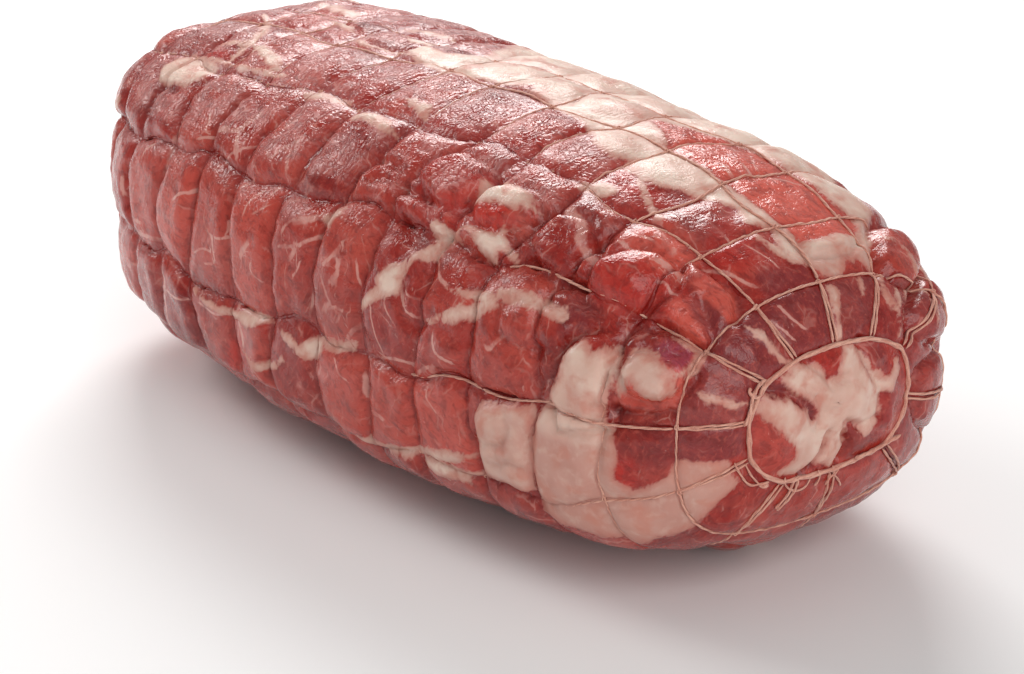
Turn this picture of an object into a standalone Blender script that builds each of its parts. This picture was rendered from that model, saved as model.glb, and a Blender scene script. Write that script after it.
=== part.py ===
"""A netted boneless pork butt roast, resting on its flattened underside.

The roast is one solid of rolled shoulder meat. A stretch net is drawn tightly over it:
hoops run round the girth, lengthwise strings cross them, and each end is gathered on a
heavier ring. The meat bulges out of every cell of the net, so the strings lie in grooves.

Frame: +X along the roast towards the end that shows, +Z up, origin at the middle of the
underside. Units are metres.
"""

import math

import bmesh
import bpy
from mathutils import Vector

MM = 0.001

# Driving dimensions of the string surface, which is the shape that the net itself makes.
HALF_LENGTH = 141.7 * MM
HALF_WIDTH = 64.3 * MM
MIDDLE_HEIGHT = 56.0 * MM  # height of the widest level above the table
RISE_ABOVE = 53.4 * MM
DROP_BELOW = 60.5 * MM  # before the roast sags flat on the table
BACK_SLOPE = 0.10  # share of the rise that is lost towards the back end
BOW = 3.2 * MM  # the log is slightly bent sideways
BOW_CENTRE = 0.3
BOW_TURNS = 0.45

# Exponents of the superellipses: 2 is an ellipse, larger is boxier.
PLAN_FRONT, PLAN_BACK = 3.5, 4.1
TOP_FRONT, TOP_BACK = 2.6, 4.6
BASE_FRONT, BASE_BACK = 2.8, 3.8
SECTION_TOP, SECTION_BASE = 2.3, 3.1

# The net. Hoops are counted from the front ring to the back ring. A string's route is its
# angle round the girth at the back end, the middle and the front end: 90 degrees is the
# top, and 180 degrees is the side towards -Y.
FRONT_RING, FRONT_GATHER = 139.7 * MM, 130.0 * MM
BACK_GATHER, BACK_RING = -134.5 * MM, -140.7 * MM
FIRST_BODY_HOOP = 113.0 * MM
HOOP_PITCH = 20.9 * MM
BODY_HOOPS = 12
STRING_ROUTES = (
    (188, 187, 176),
    (156, 148, 139),
    (131, 121, 115),
    (107, 97, 88),
    (90, 80, 62),
    (52, 44, 33),
    (-3, -10, -17),
    (-38, -45, -52),
    (-73, -80, -87),
    (-107, -114, -121),
    (-144, -150, -155),
)
STRING_THICKNESS = 1.4 * MM
RING_WIDTH = 2.2 * MM

# The meat between the strings.
BULGE = 3.4 * MM  # height of a pillow above its grooves
END_DOME = 2.0 * MM  # the meat inside a ring swells by this much
GROOVE_CLEARANCE = 0.8 * MM  # from the foot of a groove to the underside of its string
GROOVE_TABLE_GAP = 2.8 * MM  # the grooves under the roast stay this far off the table

# How finely the solids are cut.
MEAT_STEPS = 3  # mesh steps of the meat in a net cell, each way
HOOP_STEPS = 2  # straight stretches of a hoop between two strings

BODY = [FIRST_BODY_HOOP - i * HOOP_PITCH for i in range(BODY_HOOPS)]
HOOPS = [FRONT_RING, FRONT_GATHER, *BODY, BACK_GATHER, BACK_RING]
STRINGS = len(STRING_ROUTES)


def profile(share, front, back):
    """Height of a superellipse of height 1 at a share of its half length."""
    power = front if share > 0 else back
    return max(0.0, 1 - min(1.0, abs(share)) ** power) ** (1 / power)


def on_string_surface(x, degrees):
    """Point of the string surface at station x, at an angle round the girth."""
    share = x / HALF_LENGTH
    cosine, sine = math.cos(math.radians(degrees)), math.sin(math.radians(degrees))
    if sine > 0:
        power = SECTION_TOP
        height = RISE_ABOVE * profile(share, TOP_FRONT, TOP_BACK)
        height *= 1 - BACK_SLOPE * max(0.0, -share)
    else:
        power = SECTION_BASE
        height = DROP_BELOW * profile(share, BASE_FRONT, BASE_BACK)
    width = HALF_WIDTH * profile(share, PLAN_FRONT, PLAN_BACK)
    reach = (abs(cosine) ** power + abs(sine) ** power) ** (-1 / power)
    bend = BOW * math.sin(2 * math.pi * BOW_TURNS * (share - BOW_CENTRE))
    z = MIDDLE_HEIGHT + height * reach * sine
    return Vector((x, bend + width * reach * cosine, max(z, GROOVE_TABLE_GAP)))


def string_degrees(string, x):
    """Angle of a string at station x, on a parabola through its route. Strings are
    counted on past the last one, for a second turn."""
    turn, number = divmod(string, STRINGS)
    back, middle, front = STRING_ROUTES[number]
    share = x / HALF_LENGTH
    slope, curve = (front - back) / 2, (front + back) / 2 - middle
    return middle + slope * share + curve * share**2 - 360 * turn


def hoop_corner(hoop, corner):
    """Corner of a hoop, which is a polygon with HOOP_STEPS sides for each string."""
    string, step = divmod(corner, HOOP_STEPS)
    x, share = HOOPS[hoop], step / HOOP_STEPS
    here, following = string_degrees(string, x), string_degrees(string + 1, x)
    return on_string_surface(x, here * (1 - share) + following * share)


def hoop_point(hoop, around):
    """Point of one hoop, around being counted in strings."""
    corner = math.floor(around * HOOP_STEPS)
    share = around * HOOP_STEPS - corner
    return hoop_corner(hoop, corner).lerp(hoop_corner(hoop, corner + 1), share)


def net_point(along, around):
    """Point at net coordinates: along counts hoops, with the front ring at 1, and
    around counts strings. A string runs straight from hoop to hoop. Beyond the rings
    the surface closes over the end of the meat."""
    last = len(HOOPS)
    hoop = min(int(max(along, 1)), last - 1) - 1
    share = min(max(along - hoop - 1, 0), 1)
    here = hoop_point(hoop, around).lerp(hoop_point(hoop + 1, around), share)
    inside = max(0.0, 1 - along, along - last)
    if inside:
        centre = Vector((here.x, on_string_surface(here.x, 90).y, MIDDLE_HEIGHT))
        here = here.lerp(centre, inside)
        here.x += math.copysign(END_DOME * inside * (2 - inside), here.x)
    return here


def make_material(name, colour, roughness):
    """A Principled material with a plain colour."""
    material = bpy.data.materials.new(name)
    material.use_nodes = True
    shader = material.node_tree.nodes["Principled BSDF"]
    shader.inputs["Base Color"].default_value = (*colour, 1.0)
    shader.inputs["Roughness"].default_value = roughness
    shader.inputs["Metallic"].default_value = 0.0
    return material


def make_object(name, sheet, collection, material):
    """Turns a bmesh into an object with one material."""
    mesh = bpy.data.meshes.new(name)
    sheet.to_mesh(mesh)
    sheet.free()
    mesh.materials.append(material)
    mesh.shade_smooth()
    thing = bpy.data.objects.new(name, mesh)
    collection.objects.link(thing)
    return thing


def make_meat(collection):
    """The rolled meat: it bulges out of every cell of the net, and its base is flat.

    A sphere is wrapped onto the string surface, so that its rows and columns run along
    the net, and then every vertex that isn't on a string is pushed outwards."""
    rows = (len(HOOPS) + 1) * MEAT_STEPS
    columns = STRINGS * MEAT_STEPS
    sheet = bmesh.new()
    bmesh.ops.create_uvsphere(sheet, u_segments=columns, v_segments=rows, radius=1)
    net_steps = {}
    for vert in sheet.verts:
        row = round(math.acos(max(-1.0, min(1.0, vert.co.z))) / math.pi * rows)
        column = round(math.atan2(vert.co.y, vert.co.x) / math.tau * columns)
        net_steps[vert] = (row, column)
        vert.co = net_point(row / MEAT_STEPS, column / MEAT_STEPS)
    bmesh.ops.recalc_face_normals(sheet, faces=sheet.faces)
    sheet.normal_update()
    for vert, (row, column) in net_steps.items():
        in_end_face = not MEAT_STEPS < row < rows - MEAT_STEPS
        under_hoop = row % MEAT_STEPS == 0 and 0 < row < rows
        under_string = column % MEAT_STEPS == 0 and not in_end_face
        if not under_hoop and not under_string:
            vert.co += vert.normal * BULGE
        vert.co.z = max(vert.co.z, 0.0)
    pork = make_material("pork", (0.42, 0.09, 0.075), 0.35)
    return make_object("meat", sheet, collection, pork)


def strip_point(row, column):
    """Point on the middle level of the net. Each hoop has two rows of points, one on
    each of its sides. Each string has two columns, and one more column in the gap to
    the next string lets the hoops bend."""
    hoop, side = divmod(row, 2)
    string, step = divmod(column, HOOP_STEPS + 1)
    along, around = hoop + 1, string + max(0, step - 1) / HOOP_STEPS
    ahead = net_point(along + 0.1, around) - net_point(along - 0.1, around)
    sideways = net_point(along, around + 0.1) - net_point(along, around - 0.1)
    outward = sideways.cross(ahead).normalized()
    width = RING_WIDTH if hoop in (0, len(HOOPS) - 1) else STRING_THICKNESS
    here = net_point(along, around)
    here += outward * (GROOVE_CLEARANCE + STRING_THICKNESS / 2)
    here += ahead.normalized() * width * (side - 0.5)
    if step < 2:
        here += sideways.normalized() * STRING_THICKNESS * (step - 0.5)
    return here


def make_netting(collection):
    """The net: flat strips that cross one another, thickened into one solid."""
    rows = 2 * len(HOOPS) - 1
    columns = STRINGS * (HOOP_STEPS + 1)
    sheet = bmesh.new()
    bmesh.ops.create_grid(sheet, x_segments=rows, y_segments=columns, size=1)
    net_steps = {}
    for vert in sheet.verts:
        row = round((vert.co.x + 1) / 2 * rows)
        column = round((vert.co.y + 1) / 2 * columns)
        net_steps[vert] = (row, column)
    cells = []
    for face in sheet.faces:
        first_row = min(net_steps[vert][0] for vert in face.verts)
        first_column = min(net_steps[vert][1] for vert in face.verts)
        if first_row % 2 == 1 and first_column % (HOOP_STEPS + 1) != 0:
            cells.append(face)
    for vert, (row, column) in net_steps.items():
        vert.co = strip_point(row, column % columns)
    bmesh.ops.delete(sheet, geom=cells, context="FACES")
    bmesh.ops.remove_doubles(sheet, verts=sheet.verts, dist=0.01 * MM)
    bmesh.ops.recalc_face_normals(sheet, faces=sheet.faces)
    yarn = make_material("net string", (0.78, 0.55, 0.44), 0.8)
    net = make_object("netting", sheet, collection, yarn)
    thicken = net.modifiers.new("thicken", "SOLIDIFY")
    thicken.thickness = STRING_THICKNESS
    thicken.offset = 0.0
    return net


def centre_on_origin(objects, leader):
    """Moves the meshes so that the leader's box stands centred over the origin."""
    for axis in (0, 1):
        values = [vert.co[axis] for vert in leader.data.vertices]
        middle = (min(values) + max(values)) / 2
        for thing in objects:
            for vert in thing.data.vertices:
                vert.co[axis] -= middle


def main():
    for old in list(bpy.data.objects):
        bpy.data.objects.remove(old)
    collection = bpy.data.collections.new("boneless pork butt roast")
    bpy.context.scene.collection.children.link(collection)
    meat = make_meat(collection)
    netting = make_netting(collection)
    centre_on_origin((netting, meat), meat)


main()
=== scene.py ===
import math

import bmesh
import bpy
import numpy as np
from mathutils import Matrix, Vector, noise
from mathutils.bvhtree import BVHTree


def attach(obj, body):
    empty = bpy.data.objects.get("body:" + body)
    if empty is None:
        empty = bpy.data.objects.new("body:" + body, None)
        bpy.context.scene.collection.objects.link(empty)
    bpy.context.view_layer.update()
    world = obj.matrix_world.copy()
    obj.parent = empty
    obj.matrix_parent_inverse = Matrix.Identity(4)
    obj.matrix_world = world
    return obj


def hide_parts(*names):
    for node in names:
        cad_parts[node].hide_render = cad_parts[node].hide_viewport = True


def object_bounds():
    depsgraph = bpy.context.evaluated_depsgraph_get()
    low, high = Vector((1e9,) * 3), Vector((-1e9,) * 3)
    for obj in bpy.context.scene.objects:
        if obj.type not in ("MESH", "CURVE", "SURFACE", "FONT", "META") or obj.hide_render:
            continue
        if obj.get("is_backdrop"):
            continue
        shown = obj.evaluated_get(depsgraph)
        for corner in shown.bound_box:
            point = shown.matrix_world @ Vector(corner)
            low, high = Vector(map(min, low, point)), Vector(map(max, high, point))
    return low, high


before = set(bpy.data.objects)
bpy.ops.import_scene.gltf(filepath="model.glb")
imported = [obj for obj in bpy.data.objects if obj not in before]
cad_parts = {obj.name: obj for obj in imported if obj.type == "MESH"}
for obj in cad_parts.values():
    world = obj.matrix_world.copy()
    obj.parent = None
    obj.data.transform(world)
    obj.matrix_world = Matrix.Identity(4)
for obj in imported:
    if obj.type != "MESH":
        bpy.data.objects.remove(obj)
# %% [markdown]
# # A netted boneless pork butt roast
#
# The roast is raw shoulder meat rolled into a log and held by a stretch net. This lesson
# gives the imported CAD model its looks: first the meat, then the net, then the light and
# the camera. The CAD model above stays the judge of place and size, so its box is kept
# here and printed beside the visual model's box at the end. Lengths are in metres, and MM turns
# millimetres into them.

MM = 0.001
cad_box = [list(corner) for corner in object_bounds()]
print("CAD box in mm:", [[round(value / MM, 1) for value in corner] for corner in cad_box])


def smooth_step(low, high, value):
    """0 below low, 1 above high, and a soft ramp between them."""
    share = np.clip((value - low) / (high - low), 0, 1)
    return share * share * (3 - 2 * share)


# %% [markdown]
# ## The surface that the net makes
#
# A tight net shapes soft meat: its hoops round the girth and its strings along the length
# pull the roll into a rounded log. So every place on the roast is named in net
# coordinates. *Along* counts hoops, from 1 at the ring that gathers the front end to 16 at
# the back ring, and *around* counts strings, from 0 at the side towards -Y, over the top.
# The alternative is a free sculpt, but then net and meat would have to be fitted to each
# other by hand. Here both read the same functions, which are the CAD model's too.

# %% Sizes of the log
HALF_LENGTH, HALF_WIDTH = 141.7 * MM, 64.3 * MM
MIDDLE_HEIGHT, RISE_ABOVE, DROP_BELOW = 56.0 * MM, 53.4 * MM, 60.5 * MM
GROOVE_TABLE_GAP = 2.8 * MM  # the grooves under the roast stay this far off the table
BACK_SLOPE = 0.10  # share of the rise that is lost towards the back end
END_DOME = 2.0 * MM  # the meat inside a ring swells by this much
# Exponents of the superellipses, towards the front and the back: 2 is an ellipse, and a
# larger one is boxier.
PLAN_POWERS, TOP_POWERS, BASE_POWERS = (3.5, 4.1), (2.6, 4.6), (2.8, 3.8)
SECTION_TOP, SECTION_BASE = 2.3, 3.1
BOW, BOW_CENTRE, BOW_TURNS = 3.2 * MM, 0.3, 0.45  # the log is slightly bent sideways
CENTRING = np.array((0.5, 1.64, 0.0)) * MM  # moves the log so that its box is centred
RING_SHIFT = np.array((0.0, -3.0, 1.5)) * MM  # the front ring sits to one side

BODY_HOOPS = [(113.0 - 20.9 * i) * MM for i in range(12)]
HOOPS = np.array([139.7 * MM, 130.0 * MM, *BODY_HOOPS, -134.5 * MM, -140.7 * MM])
# Angle of each string round the girth, at the back, the middle and the front.
STRING_ROUTES = np.array((
    (188, 187, 176), (156, 148, 139), (131, 121, 115), (107, 97, 88),
    (90, 80, 62), (52, 44, 33), (-3, -10, -17), (-38, -45, -52),
    (-73, -80, -87), (-107, -114, -121), (-144, -150, -155),
))
STRINGS, LAST = len(STRING_ROUTES), len(HOOPS)


def profile(share, front, back):
    """Height of a superellipse of height 1 at a share of its half length."""
    power = np.where(share > 0, front, back)
    return np.maximum(0, 1 - np.minimum(1, abs(share)) ** power) ** (1 / power)


def on_log(x, degrees):
    """Points of the log at stations x, at angles round the girth."""
    share = x / HALF_LENGTH
    cosine, sine = np.cos(np.radians(degrees)), np.sin(np.radians(degrees))
    rise = RISE_ABOVE * profile(share, *TOP_POWERS) * (1 - BACK_SLOPE * np.maximum(0, -share))
    height = np.where(sine > 0, rise, DROP_BELOW * profile(share, *BASE_POWERS))
    power = np.where(sine > 0, SECTION_TOP, SECTION_BASE)
    reach = (abs(cosine) ** power + abs(sine) ** power) ** (-1 / power)
    bend = BOW * np.sin(2 * math.pi * BOW_TURNS * (share - BOW_CENTRE))
    y = bend + HALF_WIDTH * profile(share, *PLAN_POWERS) * reach * cosine
    z = MIDDLE_HEIGHT + height * reach * sine
    return np.stack([x + 0 * y, y, np.maximum(z, GROOVE_TABLE_GAP)], -1)


# Where this roast swells or sinks beside the even log: height, reach and place, in mm.
SWELLS = (
    (4.4, 19, (-128, -33, 89)), (-1.2, 12, (-127, -51, 70)), (-3.0, 16, (-125, -55, 38)),
    (-1.8, 26, (-15, 38, 104)), (-1.8, 24, (25, 40, 104)), (-2.8, 22, (52, 45, 98)),
    (-1.4, 18, (85, 48, 93)), (-1.8, 28, (70, -42, 6)),
)
TUCK_IN, TUCK_UP, TUCK_LEVEL = 12.0 * MM, 3.5 * MM, 30.0 * MM
TUCK_RAMP = 10 * MM, 45 * MM  # from the middle line towards either side
FAR_TUCK = 0.45  # the far side is tucked in by this share


def reshaped(points):
    """Points of the log moved to the swells, and tucked in above the table as meat sags."""
    away = points - points * (1, 0, 0) - (0, 0, MIDDLE_HEIGHT)
    away /= np.maximum(np.linalg.norm(away, axis=-1, keepdims=True), MM)
    moved = points.copy()
    for height, reach, centre in SWELLS:
        distance = np.linalg.norm(points - np.array(centre) * MM, axis=-1) / (reach * MM)
        moved += (height * MM * np.exp(-(distance**2)))[..., None] * away
    x, y, z = np.moveaxis(points, -1, 0)
    low = 1 - smooth_step(0, TUCK_LEVEL, z)
    near_front = smooth_step(60 * MM, 100 * MM, x) * smooth_step(-2 * MM, 22 * MM, -y)
    near = np.maximum(smooth_step(*TUCK_RAMP, -y), near_front)
    far = FAR_TUCK * smooth_step(*TUCK_RAMP, y)
    moved[..., 1] += TUCK_IN * low**1.5 * (near - far)
    moved[..., 2] += TUCK_UP * low * (near + far)
    return moved


def string_degrees(string, x):
    """Angle of a string at station x, on a parabola through its route."""
    turn, number = np.divmod(string, STRINGS)
    back, middle, front = STRING_ROUTES[number.astype(int)].T
    share = x / HALF_LENGTH
    curve = (front + back) / 2 - middle
    return middle + (front - back) / 2 * share + curve * share**2 - 360 * turn


def net_point(along, around):
    """Points of the log at net coordinates. Beyond the rings it closes over the ends."""
    along, around = np.broadcast_arrays(along, around)
    x = np.interp(along, np.arange(1, LAST + 1), HOOPS)
    string = np.floor(around)
    share = around - string
    degrees = string_degrees(string, x) * (1 - share) + string_degrees(string + 1, x) * share
    point = on_log(x, degrees)
    inside = np.maximum(0, np.maximum(1 - along, along - LAST))[..., None]
    centre = on_log(x, 90 + 0 * x)
    centre[..., 2] = MIDDLE_HEIGHT
    point = point * (1 - inside) + centre * inside
    point[..., 0] += np.sign(x) * END_DOME * (inside * (2 - inside))[..., 0]
    ring_pull = 1 - smooth_step(1.0, 2.6, along)
    point += ring_pull[..., None] * RING_SHIFT
    return reshaped(point + CENTRING)


def unit(vectors):
    """The same directions with a length of 1."""
    return vectors / np.linalg.norm(vectors, axis=-1, keepdims=True)


def net_steps(along, around, step):
    """Ways over the log from one step before a place to one after it, along and round."""
    ahead = net_point(along + step, around) - net_point(along - step, around)
    beside = net_point(along, around + step) - net_point(along, around - step)
    return ahead, beside


CLOSE = 0.02  # of a cell


def net_normal(along, around):
    """Outward directions of the log at net coordinates that are off its two poles."""
    ahead, beside = net_steps(along, around, CLOSE)
    return unit(np.cross(beside, ahead))


def cell_size(along, around):
    """Length and width of a net cell at one place, in metres."""
    return [np.linalg.norm(side) for side in net_steps(along, around, 0.5)]


print("a cell on top is", [round(float(side) / MM, 1) for side in cell_size(8.5, 2.5)], "mm")

# %% [markdown]
# ## The meat's mesh
#
# The meat is one closed skin, so it starts as one sphere from bmesh and is wrapped onto the
# log, row by row along the net and column by column round it. A grid bent into a tube would
# need its ends sewn shut, and a remeshed lump would lose the rows that follow the net. Rows
# lie closer together at the end that the camera sees, and a row lies under every hoop, and
# a column under every string, so that the grooves come out sharp.

# %% A sphere wrapped onto the log
COLUMNS = STRINGS * 30
ROWS_IN_CELL = [26, 14, 18, *[18] * 11, 16, 10, 16]  # from the front pole to the back pole


def row_places():
    """The along coordinate of every row of the mesh."""
    places = [0.0]
    for cell, rows in enumerate(ROWS_IN_CELL):
        places += [cell + step / rows for step in range(1, rows + 1)]
    return np.array(places)


def co_array(mesh, name="co"):
    """The places, or the normals, of a mesh's vertices as an array."""
    values = np.empty(len(mesh.vertices) * 3, np.float32)
    mesh.vertices.foreach_get(name, values)
    return values.reshape(-1, 3).astype(float)


def place_verts(mesh, points):
    """Moves a mesh's vertices to the rows of an array."""
    mesh.vertices.foreach_set("co", points.astype(np.float32).ravel())
    mesh.update()


def mesh_of(name, sheet):
    """A mesh that holds what a bmesh does, which is then freed."""
    mesh = bpy.data.meshes.new(name)
    sheet.to_mesh(mesh)
    sheet.free()
    return mesh


rows = row_places()
sheet = bmesh.new()
bmesh.ops.create_uvsphere(sheet, u_segments=COLUMNS, v_segments=len(rows) - 1, radius=1)
meat_mesh = mesh_of("pork", sheet)

sphere = co_array(meat_mesh)
polar = np.arctan2(np.hypot(sphere[:, 0], sphere[:, 1]), sphere[:, 2]) / math.pi
row = np.rint(polar * (len(rows) - 1)).astype(int)
column = np.rint(np.arctan2(sphere[:, 1], sphere[:, 0]) / math.tau * COLUMNS) % COLUMNS
cell_along = rows[row]  # whole numbers lie under hoops
cell_around = column / COLUMNS * STRINGS
print("meat rows", len(rows), "vertices", len(sphere))

# %% [markdown]
# ## Hoops that slip
#
# Between strings 1 and 4, on top of the roast, the hoops have slipped a few millimetres
# towards the front, and everywhere the net wanders a little. Each place could be moved
# after it is found, but then grooves and yarn would need the same care twice. Instead the
# slip is taken off the count of hoops before a place is looked up, so both move together.

# %% The slip of the hoops
SLIP = 0.24  # of a cell
# Slow waves in the net: height as a share of a cell, waves round the girth, and turn of
# the wave from one hoop to the next.
WANDER_AHEAD = ((0.06, 4, 2.1), (0.05, 9, -1.3))
WANDER_ASIDE = ((0.05, 3, 1.7), (0.035, -5, 3.9))
LOWEST = 2.5  # strings from string 0 to the middle of the underside


def plateau(start, full, fade, end, value):
    """0 up to start, 1 from full to fade and 0 again from end, with soft ramps."""
    return smooth_step(start, full, value) * (1 - smooth_step(fade, end, value))


def unwound(around):
    """The same place counted from underneath, so that the top isn't cut in two."""
    return (around + LOWEST) % STRINGS - LOWEST


def slipped(along, around):
    """Net coordinates on the log of a place of the net that has slipped and wandered."""
    turn = unwound(around)
    over_top = plateau(0.9, 2.0, 3.4, 4.8, turn)
    middle = plateau(2.0, 6.0, 8.5, 11.0, along)
    free = plateau(2, 4, 13, 14.5, along)
    once = math.tau * around / STRINGS
    ahead, aside = (
        sum(height * np.sin(waves * once + step * along) for height, waves, step in wander)
        for wander in (WANDER_AHEAD, WANDER_ASIDE)
    )
    return along - SLIP * over_top * middle - ahead * free, around + aside * free


along, turned = slipped(cell_along, cell_around)
around = unwound(turned)
base = net_point(along, turned)
place_verts(meat_mesh, base)
for_normals = bmesh.new()
for_normals.from_mesh(meat_mesh)
bmesh.ops.recalc_face_normals(for_normals, faces=for_normals.faces)
for_normals.to_mesh(meat_mesh)
for_normals.free()
outward = co_array(meat_mesh, "normal")
at_pole = (row == 0) | (row == len(rows) - 1)
outward[at_pole] = np.sign(base[at_pole]) * (1, 0, 0)
print("the hoops on top slip by up to", round(SLIP * -np.diff(HOOPS)[5] / MM, 1), "mm")

# %% [markdown]
# ## Where the tissues lie
#
# A roast like this shows several muscles and the fat between them. Fat lies in sharp-edged
# sheets and seams, and lean changes its tone softly. Painting an image would be one way,
# but the pattern then depends on its resolution. Here each sheet is a named outline and
# each seam a named path in net coordinates, read off the roast, and every vertex keeps its
# depth inside them in millimetres. The material can then cut the edge as sharply, and roughen
# it as finely, as it likes. Places inside the front ring are given as millimetres across
# the end face instead, as (y, z).

# %% Smooth noise and round corners


def lumps(points, size, shift, stretch=(1, 1, 1)):
    """Smooth noise from -1 to 1, with lumps about one size across."""
    scaled = points / (np.array(stretch) * size) + shift
    return np.array([noise.noise(Vector(place)) for place in scaled])


def rounded(path, cuts=2):
    """The path with each corner cut, and the new corners cut again."""
    path = np.array(path, float)
    for _ in range(cuts):
        starts, ends = path[:-1], path[1:]
        cut = np.stack([starts * 0.75 + ends * 0.25, starts * 0.25 + ends * 0.75], 1)
        path = np.concatenate([path[:1], cut.reshape(-1, path.shape[1]), path[-1:]])
    return path


print("a path of 3 points has", len(rounded([(0, 0), (5, 0), (5, 5)])), "once it is rounded")

# %% Depth inside an outline or a seam
FAR = -30.0  # mm, deeper outside than any edge reaches
BODY_FROM, FACE_TO = 0.9, 1.1  # hoops; the body and the end face overlap at the ring
MOST_HOOPS = 9  # no shape reaches further from its middle
SEAM_END = 0.35  # a seam's width at its ends, as a share of the width at its middle


def beside_line(u, v, start, end):
    """The nearest place on a straight line, as a share of it, and how far off that is."""
    (u0, v0), (u1, v1) = start, end
    du, dv = u1 - u0, v1 - v0
    share = np.clip(((u - u0) * du + (v - v0) * dv) / (du * du + dv * dv), 0, 1)
    return share, np.hypot(u - u0 - share * du, v - v0 - share * dv)


def inside_outline(u, v, outline):
    """Distance to an outline, positive inside it."""
    corners = list(outline)
    distance, inside = np.full(u.shape, np.inf), np.zeros(u.shape, bool)
    for start, end in zip(corners, corners[1:] + corners[:1]):
        distance = np.minimum(distance, beside_line(u, v, start, end)[1])
        (u0, v0), (u1, v1) = start, end
        if v0 != v1:
            inside ^= ((v0 > v) != (v1 > v)) & (u < (v - v0) / (v1 - v0) * (u1 - u0) + u0)
    return np.where(inside, distance, -distance)


def inside_seam(u, v, path, width):
    """Distance to the edge of a seam, positive inside it. The seam tapers to its ends."""
    depth = np.full(u.shape, -np.inf)
    for span, (start, end) in enumerate(zip(path, path[1:])):
        share, distance = beside_line(u, v, start, end)
        whole = np.clip((span + share) / (len(path) - 1), 0.02, 0.98)
        full = SEAM_END + (1 - SEAM_END) * np.sqrt(np.sin(np.pi * whole))
        depth = np.maximum(depth, width / 2 * full - distance)
    return depth


def depth_in(shape, width=None):
    """Depth of every vertex in a shape given in net coordinates, in mm."""
    middle_along, middle_around = np.mean(shape, axis=0)
    length, girth = (side / MM for side in cell_size(middle_along, middle_around))
    near = (abs(along - middle_along) < MOST_HOOPS) & (along > BODY_FROM)
    u, v = along[near] * length, around[near] * girth
    scaled = [(a * length, b * girth) for a, b in shape]
    depth = np.full(along.shape, FAR)
    found = inside_seam(u, v, scaled, width) if width else inside_outline(u, v, scaled)
    depth[near] = found
    return depth


def depth_on_face(shape, width=None):
    """Depth of every vertex in a shape given in mm across the front end face."""
    on_face = along < FACE_TO
    u = (base[on_face, 1] - CENTRING[1]) / MM
    v = base[on_face, 2] / MM
    depth = np.full(along.shape, FAR)
    depth[on_face] = inside_seam(u, v, shape, width) if width else inside_outline(u, v, shape)
    return depth


print(int(np.sum(along < FACE_TO)), "vertices lie on the end face,", len(along), "in all")

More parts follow.
